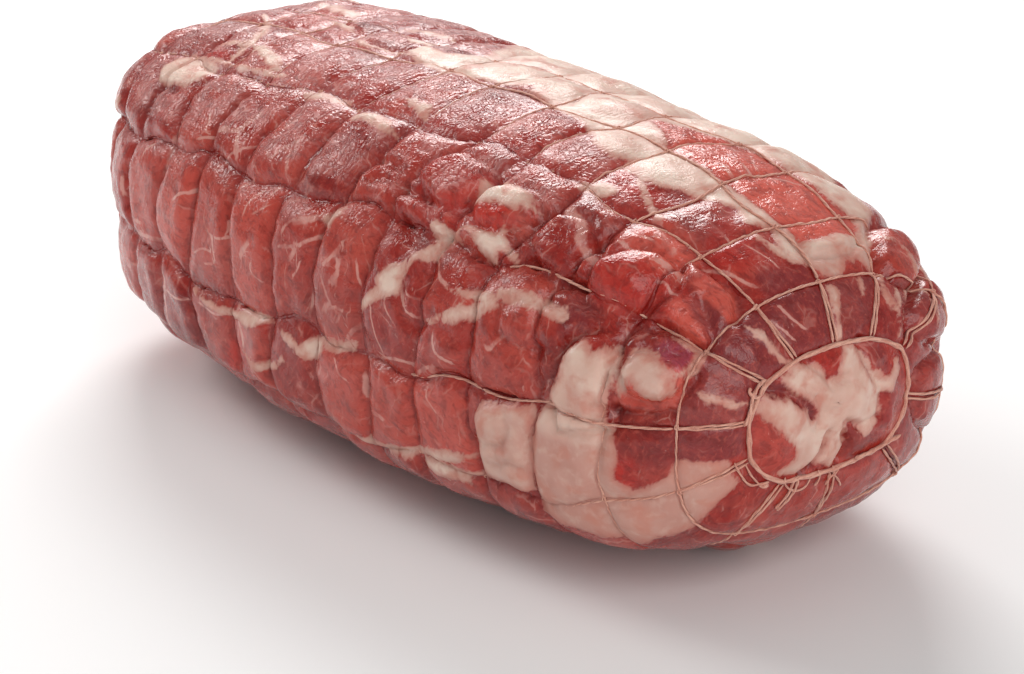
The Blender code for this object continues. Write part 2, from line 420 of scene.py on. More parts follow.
# %% Fat on the side, the top and the front, as outlines
FAT_SHEETS = {
    "cap": (
        (10.1, 3.35), (9.7, 3.2), (9.4, 3.02), (9.0, 2.9), (8.5, 2.95), (8.0, 3.07),
        (7.4, 3.05), (6.9, 2.98), (6.43, 2.85), (6.0, 2.79), (5.6, 2.64), (5.4, 2.49),
        (5.05, 2.45), (4.87, 2.56), (4.75, 2.45), (4.5, 2.38), (4.2, 2.43), (4.05, 2.55),
        (3.83, 2.6), (3.7, 2.65), (3.4, 2.82), (3.1, 2.7), (3.0, 2.95), (2.6, 2.8),
        (2.35, 2.78), (2.27, 2.97), (2.08, 3.1), (1.97, 3.35), (2.1, 3.55), (2.22, 3.75),
        (2.0, 3.95), (2.4, 4.15), (2.9, 4.35), (3.2, 4.6), (4.5, 4.8), (6.0, 4.9),
        (8.0, 4.95), (9.9, 4.6), (9.4, 4.3), (9.1, 4.0), (9.05, 3.75), (9.4, 3.55),
        (9.9, 3.62),
    ),
    "sheet_low_front": (
        (3.95, -0.95), (3.98, -0.5), (3.9, -0.1), (3.75, 0.1), (3.6, 0.25), (3.5, 0.55),
        (3.35, 0.68), (3.2, 0.6), (3.0, 0.7), (2.86, 0.6), (2.95, 0.1), (2.82, -0.1),
        (2.75, -0.4), (2.8, -0.72), (2.6, -0.86), (2.2, -0.76), (2.05, -0.62),
        (1.95, -0.45), (1.5, -0.62), (1.2, -0.75), (1.15, -1.3), (1.5, -1.4),
        (2.0, -1.5), (3.0, -1.4), (4.0, -1.2),
    ),
    "fold_low_front": (
        (4.86, -0.95), (4.8, -0.55), (4.86, -0.3), (4.75, -0.1), (4.3, -0.04),
        (3.95, -0.02), (3.95, -0.95),
    ),
    "notch": (
        (6.28, 1.06), (6.24, 1.12), (6.08, 1.10), (5.9, 1.08), (5.8, 0.98), (5.92, 0.94),
        (6.1, 0.94), (6.24, 1.0),
    ),
    "wedge": (
        (5.86, 1.06), (5.84, 1.12), (5.78, 1.16), (5.62, 1.18), (5.36, 1.18), (5.22, 1.2),
        (5.18, 1.28), (5.04, 1.18), (4.94, 1.12), (4.8, 1.06), (4.78, 1.0), (4.82, 0.96),
        (4.92, 1.02), (5.04, 1.04), (5.06, 0.98), (5.0, 0.94), (5.12, 0.94), (5.28, 0.98),
        (5.4, 1.02), (5.58, 1.1), (5.74, 1.12), (5.76, 1.06), (5.72, 0.98), (5.82, 1.0),
    ),
    "island": (
        (5.92, 1.48), (5.96, 1.62), (5.74, 1.68), (5.54, 1.68), (5.28, 1.64), (5.04, 1.58),
        (4.88, 1.52), (4.96, 1.44), (5.1, 1.4), (5.32, 1.4), (5.48, 1.4), (5.66, 1.36),
        (5.82, 1.36), (5.9, 1.42),
    ),
    "side_curve": (
        (6.76, 0.6), (6.6, 0.68), (6.42, 0.72), (6.3, 0.8), (6.16, 0.88), (6.08, 0.94),
        (5.9, 0.94), (5.8, 0.88), (5.92, 0.82), (6.16, 0.8), (6.26, 0.72), (6.3, 0.64),
        (6.28, 0.54), (6.5, 0.48), (6.7, 0.46), (6.68, 0.56),
    ),
    "arrow_top": (
        (5.58, 0.7), (5.44, 0.7), (5.26, 0.71), (5.04, 0.73), (4.86, 0.76), (4.74, 0.75),
        (4.66, 0.71), (4.72, 0.66), (4.86, 0.65), (5.04, 0.65), (5.26, 0.65), (5.44, 0.66),
    ),
    "arrow_low": (
        (4.68, 0.72), (4.68, 0.66), (4.78, 0.6), (4.96, 0.53), (5.28, 0.47), (5.52, 0.45),
        (5.66, 0.38), (5.74, 0.4), (5.68, 0.46), (5.46, 0.52), (5.24, 0.58), (5.08, 0.64),
        (4.88, 0.7),
    ),
    "lens": (
        (4.68, 0.78), (4.52, 0.81), (4.3, 0.83), (4.08, 0.83), (3.86, 0.81), (3.74, 0.84),
        (3.82, 0.76), (3.86, 0.71), (3.96, 0.72), (4.16, 0.73), (4.38, 0.73), (4.58, 0.7),
        (4.68, 0.72),
    ),
    "side_lump": (
        (8.12, 0.84), (8.02, 0.9), (7.9, 0.96), (7.74, 0.96), (7.72, 0.92), (7.8, 0.86),
        (7.82, 0.8), (7.96, 0.82),
    ),
    "low_patch": (
        (9.8, -0.1), (9.54, -0.04), (9.3, -0.02), (8.94, 0.0), (9.16, -0.12), (9.48, -0.22),
        (9.66, -0.2),
    ),
    "low_band": (
        (9.64, -0.52), (9.5, -0.6), (9.26, -0.56), (8.92, -0.49), (8.62, -0.33), (8.6, -0.4),
        (8.86, -0.55), (9.3, -0.67), (9.52, -0.66),
    ),
    "low_mass": (
        (8.32, -0.18), (8.08, -0.02), (7.82, 0.0), (7.82, -0.14), (7.9, -0.24), (8.2, -0.3),
        (8.38, -0.26),
    ),
    "low_edge": ((8.72, -0.08), (8.5, -0.08), (8.32, -0.14), (8.46, -0.22), (8.64, -0.16)),
    "band_left": (
        (7.8, 0.0), (7.52, 0.04), (7.16, 0.06), (7.18, 0.0), (7.5, -0.08), (7.82, -0.1),
    ),
    "top_patch": (
        (8.4, 2.24), (8.22, 2.3), (7.86, 2.24), (7.7, 2.04), (7.94, 2.1), (8.18, 2.16),
    ),
    "back_white": (
        (8.8, 1.84), (8.66, 1.92), (8.38, 1.94), (8.04, 1.88), (7.84, 1.78), (7.98, 1.74),
        (8.22, 1.78), (8.52, 1.8), (8.68, 1.78),
    ),
    "back_lump": (
        (13.45, 1.75), (13.2, 1.62), (12.9, 1.6), (12.4, 1.62), (12.15, 1.8),
        (12.2, 2.0), (12.5, 2.06), (13.1, 2.1), (13.3, 2.05), (13.35, 1.9),
    ),
    "back_edge": ((10.15, 2.0), (9.9, 1.9), (9.5, 1.94), (9.1, 1.98), (9.1, 2.03), (9.9, 2.07)),
    "lump": (
        (2.78, 0.7), (2.58, 0.78), (2.42, 0.74), (2.3, 0.7), (2.2, 0.68), (2.1, 0.66),
        (2.06, 0.84), (2.08, 0.92), (2.24, 0.9), (2.44, 0.92), (2.4, 0.98), (2.28, 1.0),
        (2.04, 0.98), (1.94, 1.0), (1.89, 0.86), (1.88, 0.7), (2.02, 0.64), (2.1, 0.58),
        (2.1, 0.46), (2.12, 0.4), (2.22, 0.32), (2.38, 0.32), (2.52, 0.41), (2.62, 0.46),
        (2.66, 0.4), (2.76, 0.26), (2.82, 0.34), (2.84, 0.48), (2.8, 0.6),
    ),
    "panel_streak_1": ((1.75, 0.5), (1.5, 0.42), (1.15, 0.36), (1.08, 0.5), (1.4, 0.52)),
    "panel_streak_2": (
        (1.85, 1.6), (1.65, 1.72), (1.5, 1.8), (1.05, 1.77), (1.05, 1.62), (1.4, 1.63),
    ),
    "panel_streak_3": (
        (1.9, 3.2), (1.7, 3.3), (1.3, 3.2), (1.0, 3.17), (1.0, 3.03), (1.5, 3.08),
        (1.88, 3.14),
    ),
}
LEAN_WINDOWS = {
    "salmon_window": (
        (5.65, 3.5), (5.2, 3.3), (4.9, 3.07), (4.0, 3.06), (3.0, 3.08), (2.62, 3.12),
        (2.58, 3.4), (2.62, 3.7), (2.57, 4.0), (2.8, 4.12), (3.05, 4.2), (3.1, 4.1),
        (4.0, 4.08), (4.6, 4.04), (5.0, 3.9), (5.3, 3.7),
    ),
    "slit": ((7.75, 3.05), (7.5, 3.05), (7.3, 3.1), (7.35, 3.15), (7.6, 3.13)),
    "spot": ((2.22, 3.56), (2.1, 3.53), (2.0, 3.62), (2.08, 3.7), (2.18, 3.68)),
}
print(len(FAT_SHEETS), "sheets of fat, the first with", len(FAT_SHEETS["cap"]), "corners")

# %% Seams of fat, each with its width in mm
# Those of the far side and the back face can't be seen on the roast, and are guesses.
FAT_SEAMS = {
    "side_link": (3.0, (7.08, 0.3), (6.94, 0.38), (6.8, 0.44), (6.66, 0.52)),
    "groove_strip": (1.9, (4.7, 0.77), (4.2, 0.78), (3.7, 0.75)),
    "top_dab": (5.0, (4.85, 2.03), (4.65, 2.05), (4.5, 2.06)),
    "cap_edge_streak": (2.0, (4.4, 2.36), (3.95, 2.17), (3.7, 2.1)),
    "cap_wisp": (3.0, (2.9, 2.7), (2.6, 2.72), (2.4, 2.85), (2.28, 3.0)),
    "panel_dab": (1.8, (1.92, 3.71), (1.75, 3.73), (1.55, 3.74)),
    "knob_vein_1": (1.6, (2.05, 4.12), (1.6, 4.1), (1.35, 4.4), (1.1, 4.7)),
    "knob_vein_2": (1.4, (1.95, 4.2), (1.7, 4.38), (1.4, 4.45)),
    "knob_vein_3": (1.2, (1.85, 4.55), (1.5, 4.62), (1.15, 4.66)),
    "knob_vein_4": (1.4, (2.6, 4.35), (2.3, 4.6), (1.9, 4.9), (1.5, 5.2)),
    "knob_vein_5": (2.0, (2.9, 4.9), (2.4, 5.2), (1.8, 5.5)),
    "under_band_1": (4.0, (7.3, -1.0), (6.6, -0.98), (6.0, -0.9), (5.4, -0.8), (4.9, -0.72)),
    "under_band_2": (4.0, (6.0, -1.0), (5.5, -1.0), (5.0, -0.96), (4.7, -0.9)),
    "back_band_2": (2.4, (10.95, -0.12), (10.3, -0.2), (9.6, -0.12), (9.0, -0.05)),
    "back_wisp": (1.6, (13.2, 2.08), (12.3, 2.07), (11.5, 2.08), (10.7, 2.12)),
    "back_streak": (4.4, (12.1, 2.48), (11.6, 2.36), (11.1, 2.22)),
    "back_diagonal": (3.2, (12.15, 2.1), (12.2, 2.4), (12.35, 2.65), (12.8, 3.0), (13.3, 3.3)),
    "back_dab": (2.4, (12.7, 2.32), (12.5, 2.38), (12.25, 2.4)),
    "far_diagonal": (4.6, (12.05, 3.78), (11.6, 3.6), (11.25, 3.42)),
    "cap_fringe": (2.4, (10.9, 3.2), (10.4, 3.14), (10.0, 3.24), (9.6, 3.18)),
    "cap_fringe_dab": (4.0, (10.3, 3.72), (10.1, 3.84), (9.9, 3.9)),
    "far_edge_1": (3.4, (13.3, 4.2), (12.6, 4.12), (12.1, 4.1)),
    "far_edge_2": (2.4, (11.0, 4.1), (10.5, 4.08), (10.0, 4.12)),
    "far_side_1": (4.0, (12.6, 5.2), (11.9, 5.3), (11.2, 5.6), (10.6, 5.55)),
    "far_side_2": (2.4, (10.3, 5.7), (9.6, 5.5), (8.9, 5.62)),
    "far_side_3": (5.0, (8.6, 5.75), (7.9, 6.0), (7.3, 5.9), (6.9, 5.6)),
    "far_side_4": (2.6, (6.4, 5.8), (5.8, 6.1), (5.1, 6.15), (4.4, 6.0)),
    "far_side_5": (3.6, (3.9, 6.3), (3.4, 6.55), (2.9, 6.6)),
    "far_side_6": (3.2, (13.6, 6.6), (12.8, 6.7), (12.1, 7.0)),
    "far_side_7": (5.0, (10.9, 6.8), (10.3, 6.65), (9.6, 6.9), (9.1, 7.1)),
    "far_side_8": (2.4, (5.9, 6.9), (5.1, 7.05), (4.0, 6.8), (3.0, 7.1)),
    "under_seam": (5.0, (12.5, 8.2), (10.0, 7.8), (7.5, 8.1), (5.0, 7.7), (3.0, 8.0)),
    "back_face_1": (3.5, (15.9, 1.2), (14.9, 1.0), (14.2, 1.2)),
    "back_face_2": (3.0, (15.8, 4.6), (15.0, 4.4), (14.0, 4.7), (13.2, 4.5)),
    "back_face_3": (3.6, (16.1, 0.2), (16.35, 0.7), (16.5, 1.5), (16.4, 2.4)),
    "back_face_4": (2.6, (16.2, 5.2), (16.45, 5.8), (16.4, 6.6)),
}
widest = max(seam[0] for seam in FAT_SEAMS.values())
print(len(FAT_SEAMS), "seams of fat, the widest", widest, "mm")

# %% Veins of fat: width in mm and path
VEINS = (
    (1.1, (5.86, 0.82), (5.78, 0.78), (5.68, 0.72), (5.54, 0.7)),
    (1.0, (6.32, 0.62), (6.26, 0.54), (6.2, 0.46), (6.06, 0.42), (5.9, 0.4), (5.72, 0.42)),
    (0.7, (6.24, 0.62), (6.14, 0.56), (6.02, 0.54), (5.9, 0.54)),
    (0.6, (6.52, 0.46), (6.48, 0.4), (6.38, 0.36), (6.3, 0.32)),
    (0.6, (6.78, 0.44), (6.72, 0.3), (6.66, 0.18), (6.6, 0.08)),
    (0.9, (5.58, 0.34), (5.58, 0.28), (5.48, 0.22), (5.36, 0.2), (5.22, 0.18)),
    (0.7, (5.74, 0.0), (5.72, -0.16), (5.66, -0.26), (5.54, -0.34)),
    (1.3, (4.68, 0.38), (4.6, 0.36), (4.54, 0.42), (4.46, 0.48)),
    (1.2, (7.54, 0.72), (7.58, 0.66), (7.52, 0.56), (7.62, 0.46)),
    (0.9, (7.22, 0.64), (7.18, 0.58), (7.1, 0.5)),
    (1.3, (7.32, 0.06), (7.2, 0.14), (7.04, 0.2)),
    (0.7, (7.54, -0.16), (7.42, -0.28), (7.24, -0.32)),
    (1.4, (6.94, -0.22), (6.94, -0.44), (6.82, -0.56), (6.58, -0.62)),
    (1.0, (5.98, -0.06), (5.88, 0.02), (5.68, 0.08)),
    (0.8, (6.64, 0.02), (6.36, 0.06), (6.18, 0.06), (6.02, 0.04)),
    (1.9, (10.88, 1.3), (10.68, 1.34), (10.48, 1.36), (10.4, 1.48), (10.32, 1.58)),
    (1.3, (10.46, 1.34), (10.42, 1.26), (10.32, 1.18), (10.28, 1.1)),
    (0.9, (10.48, 1.06), (10.36, 1.16), (10.16, 1.24), (9.94, 1.32)),
    (1.4, (9.16, 1.14), (9.22, 1.24), (9.22, 1.32), (9.2, 1.4)),
    (0.8, (9.48, 1.2), (9.42, 1.3), (9.3, 1.38), (9.2, 1.44)),
    (1.0, (9.64, 1.52), (9.56, 1.6), (9.5, 1.68)),
    (2.4, (11.94, 1.04), (11.94, 1.16), (11.92, 1.26)),
    (0.9, (11.32, 1.16), (11.16, 1.2), (11.0, 1.24)),
    (0.8, (11.2, 1.24), (11.26, 1.34), (11.34, 1.44)),
    (1.7, (11.98, 0.98), (11.9, 0.9), (11.9, 0.82), (11.92, 0.76)),
    (0.9, (12.54, 0.8), (12.54, 0.88), (12.4, 0.94)),
    (1.8, (13.22, 0.5), (13.2, 0.4), (13.12, 0.34)),
    (1.0, (13.04, 0.3), (12.9, 0.24), (12.72, 0.2), (12.5, 0.2)),
    (1.2, (12.68, 0.08), (12.42, 0.1), (12.16, 0.12), (11.88, 0.14)),
    (0.9, (11.36, 0.6), (11.2, 0.68), (11.02, 0.7), (10.94, 0.78)),
    (1.3, (9.92, 0.88), (9.84, 0.92), (9.74, 0.96)),
    (
        0.8, (10.64, 0.6), (10.6, 0.52), (10.46, 0.46), (10.32, 0.44), (10.06, 0.46),
        (9.86, 0.52),
    ),
    (0.7, (10.06, 0.48), (10.02, 0.56), (10.1, 0.6), (10.0, 0.62), (9.9, 0.62)),
    (0.7, (10.32, 0.44), (10.32, 0.36), (10.26, 0.3)),
    (1.0, (9.6, 0.72), (9.6, 0.78), (9.56, 0.84), (9.44, 0.9)),
    (0.8, (9.4, 0.74), (9.3, 0.78), (9.2, 0.82)),
    (2.0, (9.4, 0.52), (9.48, 0.46), (9.56, 0.4)),
    (
        0.7, (10.78, 0.24), (10.56, 0.32), (10.36, 0.32), (10.2, 0.3), (10.28, 0.22),
        (10.48, 0.2),
    ),
    (0.6, (9.32, 0.38), (9.34, 0.32), (9.24, 0.28), (9.08, 0.26)),
    (0.9, (9.24, 0.88), (9.24, 0.94), (9.18, 0.98)),
    (2.0, (8.48, 0.78), (8.26, 0.82), (8.1, 0.87)),
    (1.0, (8.7, 0.68), (8.66, 0.74), (8.5, 0.8)),
    (1.1, (8.72, 0.58), (8.52, 0.6), (8.36, 0.62), (8.2, 0.68), (8.06, 0.72), (7.96, 0.8)),
    (1.5, (8.4, 0.62), (8.42, 0.58), (8.5, 0.52)),
    (0.7, (8.3, 0.52), (8.32, 0.46), (8.4, 0.4)),
    (1.3, (7.8, 0.56), (7.64, 0.64), (7.52, 0.74)),
    (1.3, (7.5, 0.62), (7.52, 0.54), (7.52, 0.46)),
    (0.9, (8.14, 0.12), (8.08, 0.22), (8.1, 0.28)),
    (0.9, (7.6, 0.26), (7.46, 0.3), (7.34, 0.28)),
    (1.2, (11.82, -0.08), (11.72, -0.2), (11.78, -0.36), (11.8, -0.5), (11.74, -0.72)),
    (0.7, (11.4, -0.02), (11.24, -0.1), (11.08, -0.2)),
    (0.7, (11.08, 0.06), (10.94, 0.0), (10.84, -0.08)),
    (0.9, (11.66, -0.3), (11.36, -0.3), (11.04, -0.26)),
    (0.9, (10.74, -0.22), (10.54, -0.24), (10.34, -0.26), (10.14, -0.22)),
    (1.3, (9.82, 0.0), (9.78, -0.1), (9.72, -0.24), (9.68, -0.36), (9.64, -0.48)),
    (2.2, (3.76, 2.08), (3.6, 2.0), (3.44, 1.92), (3.3, 1.86), (3.2, 1.82)),
    (2.4, (3.22, 1.6), (3.1, 1.62), (2.98, 1.64), (2.86, 1.64)),
    (0.8, (3.64, 1.78), (3.5, 1.82), (3.36, 1.8)),
    (0.9, (3.3, 2.4), (3.14, 2.4), (2.94, 2.38)),
    (1.1, (2.82, 1.94), (2.68, 2.02), (2.5, 2.08), (2.32, 2.12), (2.24, 2.18)),
    (0.6, (2.84, 2.48), (2.64, 2.54), (2.48, 2.58), (2.32, 2.58)),
    (0.8, (1.78, 2.26), (1.64, 2.28), (1.5, 2.32), (1.36, 2.38), (1.28, 2.44)),
    (0.7, (1.62, 2.02), (1.48, 2.06), (1.34, 2.12), (1.22, 2.16)),
    (1.2, (4.22, 3.28), (4.0, 3.22), (3.78, 3.16)),
    (1.1, (4.3, 3.58), (4.08, 3.5), (3.92, 3.46)),
    (0.9, (4.42, 3.9), (4.16, 3.7), (3.98, 3.62)),
    (1.1, (3.86, 3.54), (3.82, 3.7), (3.74, 3.86), (3.64, 4.0)),
    (0.9, (3.0, 1.42), (2.86, 1.42), (2.74, 1.4)),
    (1.3, (3.74, 1.62), (3.64, 1.62), (3.5, 1.6), (3.36, 1.6)),
    (1.8, (4.6, 1.9), (4.4, 1.9), (4.16, 1.86)),
    (2.6, (4.62, 1.66), (4.4, 1.62), (4.2, 1.56), (4.1, 1.42), (3.96, 1.34), (3.8, 1.3)),
)
print("veins are up to", max(vein[0] for vein in VEINS), "mm wide")

# %% Tissues inside the front ring, in mm across the end face
FACE_FAT = {
    "mass": (
        (-14, 70), (-12, 70), (-9, 69), (-6, 68), (-5, 66), (-3, 63), (-2, 64), (0, 63),
        (2, 64), (2, 66), (3, 68), (4, 71), (6, 70), (7, 67), (8, 65), (10, 62), (12, 60),
        (12, 58), (14, 56), (14, 52), (13, 50), (12, 49), (11, 47), (9, 48), (8, 50), (6, 52),
        (3, 52), (1, 51), (0, 50), (-2, 50), (-4, 49), (-3, 48), (-5, 47), (-7, 45), (-8, 44),
        (-10, 43), (-12, 42), (-15, 43), (-17, 44), (-15, 45), (-13, 46), (-13, 49),
        (-14, 51), (-16, 53), (-18, 55), (-20, 57), (-23, 59), (-24, 62), (-22, 64),
        (-19, 63), (-16, 63), (-14, 60), (-12, 59), (-10, 58), (-9, 55), (-7, 55), (-7, 57),
        (-8, 60), (-9, 61), (-10, 62), (-13, 63), (-15, 65), (-17, 67), (-17, 68), (-14, 68),
    ),
    "tube": (
        (-1, 48), (1, 47), (2, 47), (4, 45), (3, 44), (1, 42), (0, 41), (-2, 42), (-4, 43),
        (-3, 44), (-2, 46),
    ),
    "flap": ((-2, 49), (0, 50), (2, 51), (3, 50), (3, 48), (1, 47)),
    "tip": (
        (8, 69), (9, 68), (11, 65), (12, 63), (14, 62), (16, 60), (18, 60), (20, 61), (21, 63),
        (21, 61), (19, 59), (18, 57), (15, 58), (14, 56), (12, 59), (12, 62), (10, 65),
    ),
}
FACE_WEDGE = (
    (-21, 68), (-17, 67), (-15, 65), (-13, 63), (-10, 62), (-8, 60), (-7, 57), (-7, 55),
    (-9, 55), (-10, 58), (-12, 59), (-14, 60), (-16, 63), (-22, 64),
)


def deepest(shapes, depth_of=depth_in):
    """Depth in whichever of several shapes a vertex lies deepest in."""
    depth = np.full(along.shape, FAR)
    for shape in shapes.values():
        depth = np.maximum(depth, depth_of(shape))
    return depth


fat_depth = deepest(FAT_SHEETS)
fat_depth = np.minimum(fat_depth, -deepest(LEAN_WINDOWS))
uneven = lumps(base, 5 * MM, 0.0)
SEAM_UNEVEN = 0.3  # a seam widens and narrows on its way by this share of its width
for width, *path in FAT_SEAMS.values():
    seam = depth_in(rounded(path), width)
    fat_depth = np.maximum(fat_depth, seam + SEAM_UNEVEN * width * uneven)
FACE_GROWN, WEDGE_GROWN, FACE_UNEVEN = 1.0, 0.4, 0.6  # mm beyond the outlines above
face_depth = deepest(FACE_FAT, depth_on_face) + FACE_GROWN
face_depth = np.minimum(face_depth, WEDGE_GROWN - depth_on_face(FACE_WEDGE))
fat_depth = np.maximum(fat_depth, face_depth + FACE_UNEVEN * uneven)
print("share of the skin that is fat:", round(float(np.mean(fat_depth > 0)), 2))

# %% [markdown]
# Veins are thinner than a step of the mesh. A distance that is stored with a sign, positive
# on one side of the vein and negative on the other, passes through zero exactly on it, also
# between two vertices. So the material can draw a line much finer than the mesh.

# %% Distance to the nearest vein, in half widths of that vein
MESH_STEP = 1.3  # mm, the longest edge of the mesh where veins lie
VEIN_MARGIN, VEIN_FADE = 0.3, 1.2  # mm beside a vein's edge, and beyond its ends
VEIN_HOOPS, VEIN_STRINGS = 2, 1  # no vein reaches further from its middle
vein_offset, vein_near = np.full(along.shape, 9.0), np.zeros(along.shape)
nearest = np.full(along.shape, np.inf)
for width, *path in VEINS:
    middle = np.mean(path, axis=0)
    scale = np.array([side / MM for side in cell_size(*middle)])
    near = (abs(along - middle[0]) < VEIN_HOOPS) & (abs(around - middle[1]) < VEIN_STRINGS)
    near = np.flatnonzero(near & (along > BODY_FROM))
    u, v = along[near] * scale[0], around[near] * scale[1]
    corners = rounded(path) * scale
    for number, ((u0, v0), (u1, v1)) in enumerate(zip(corners, corners[1:])):
        reach = math.hypot(u1 - u0, v1 - v0)
        ahead = ((u - u0) * (u1 - u0) + (v - v0) * (v1 - v0)) / reach
        aside = ((u - u0) * (v1 - v0) - (v - v0) * (u1 - u0)) / reach
        before, beyond = np.maximum(0, -ahead), np.maximum(0, ahead - reach)
        distance = np.hypot(aside, np.maximum(before, beyond))
        past_end = before * (number == 0) + beyond * (number == len(corners) - 2)
        # The sign also flips halfway between two veins, so it counts only near a vein.
        off_edge = distance - width / 2 + VEIN_MARGIN
        shown = 1 - smooth_step(0.5 * MESH_STEP, MESH_STEP, off_edge)
        shown *= 1 - smooth_step(0, VEIN_FADE, past_end)
        closer = distance < nearest[near]
        there = near[closer]
        nearest[there] = distance[closer]
        vein_offset[there] = (np.where(aside < 0, -1, 1) * distance)[closer] / (width / 2)
        vein_near[there] = shown[closer]
print(len(VEINS), "veins, near", int(np.sum(vein_near > 0)), "vertices")
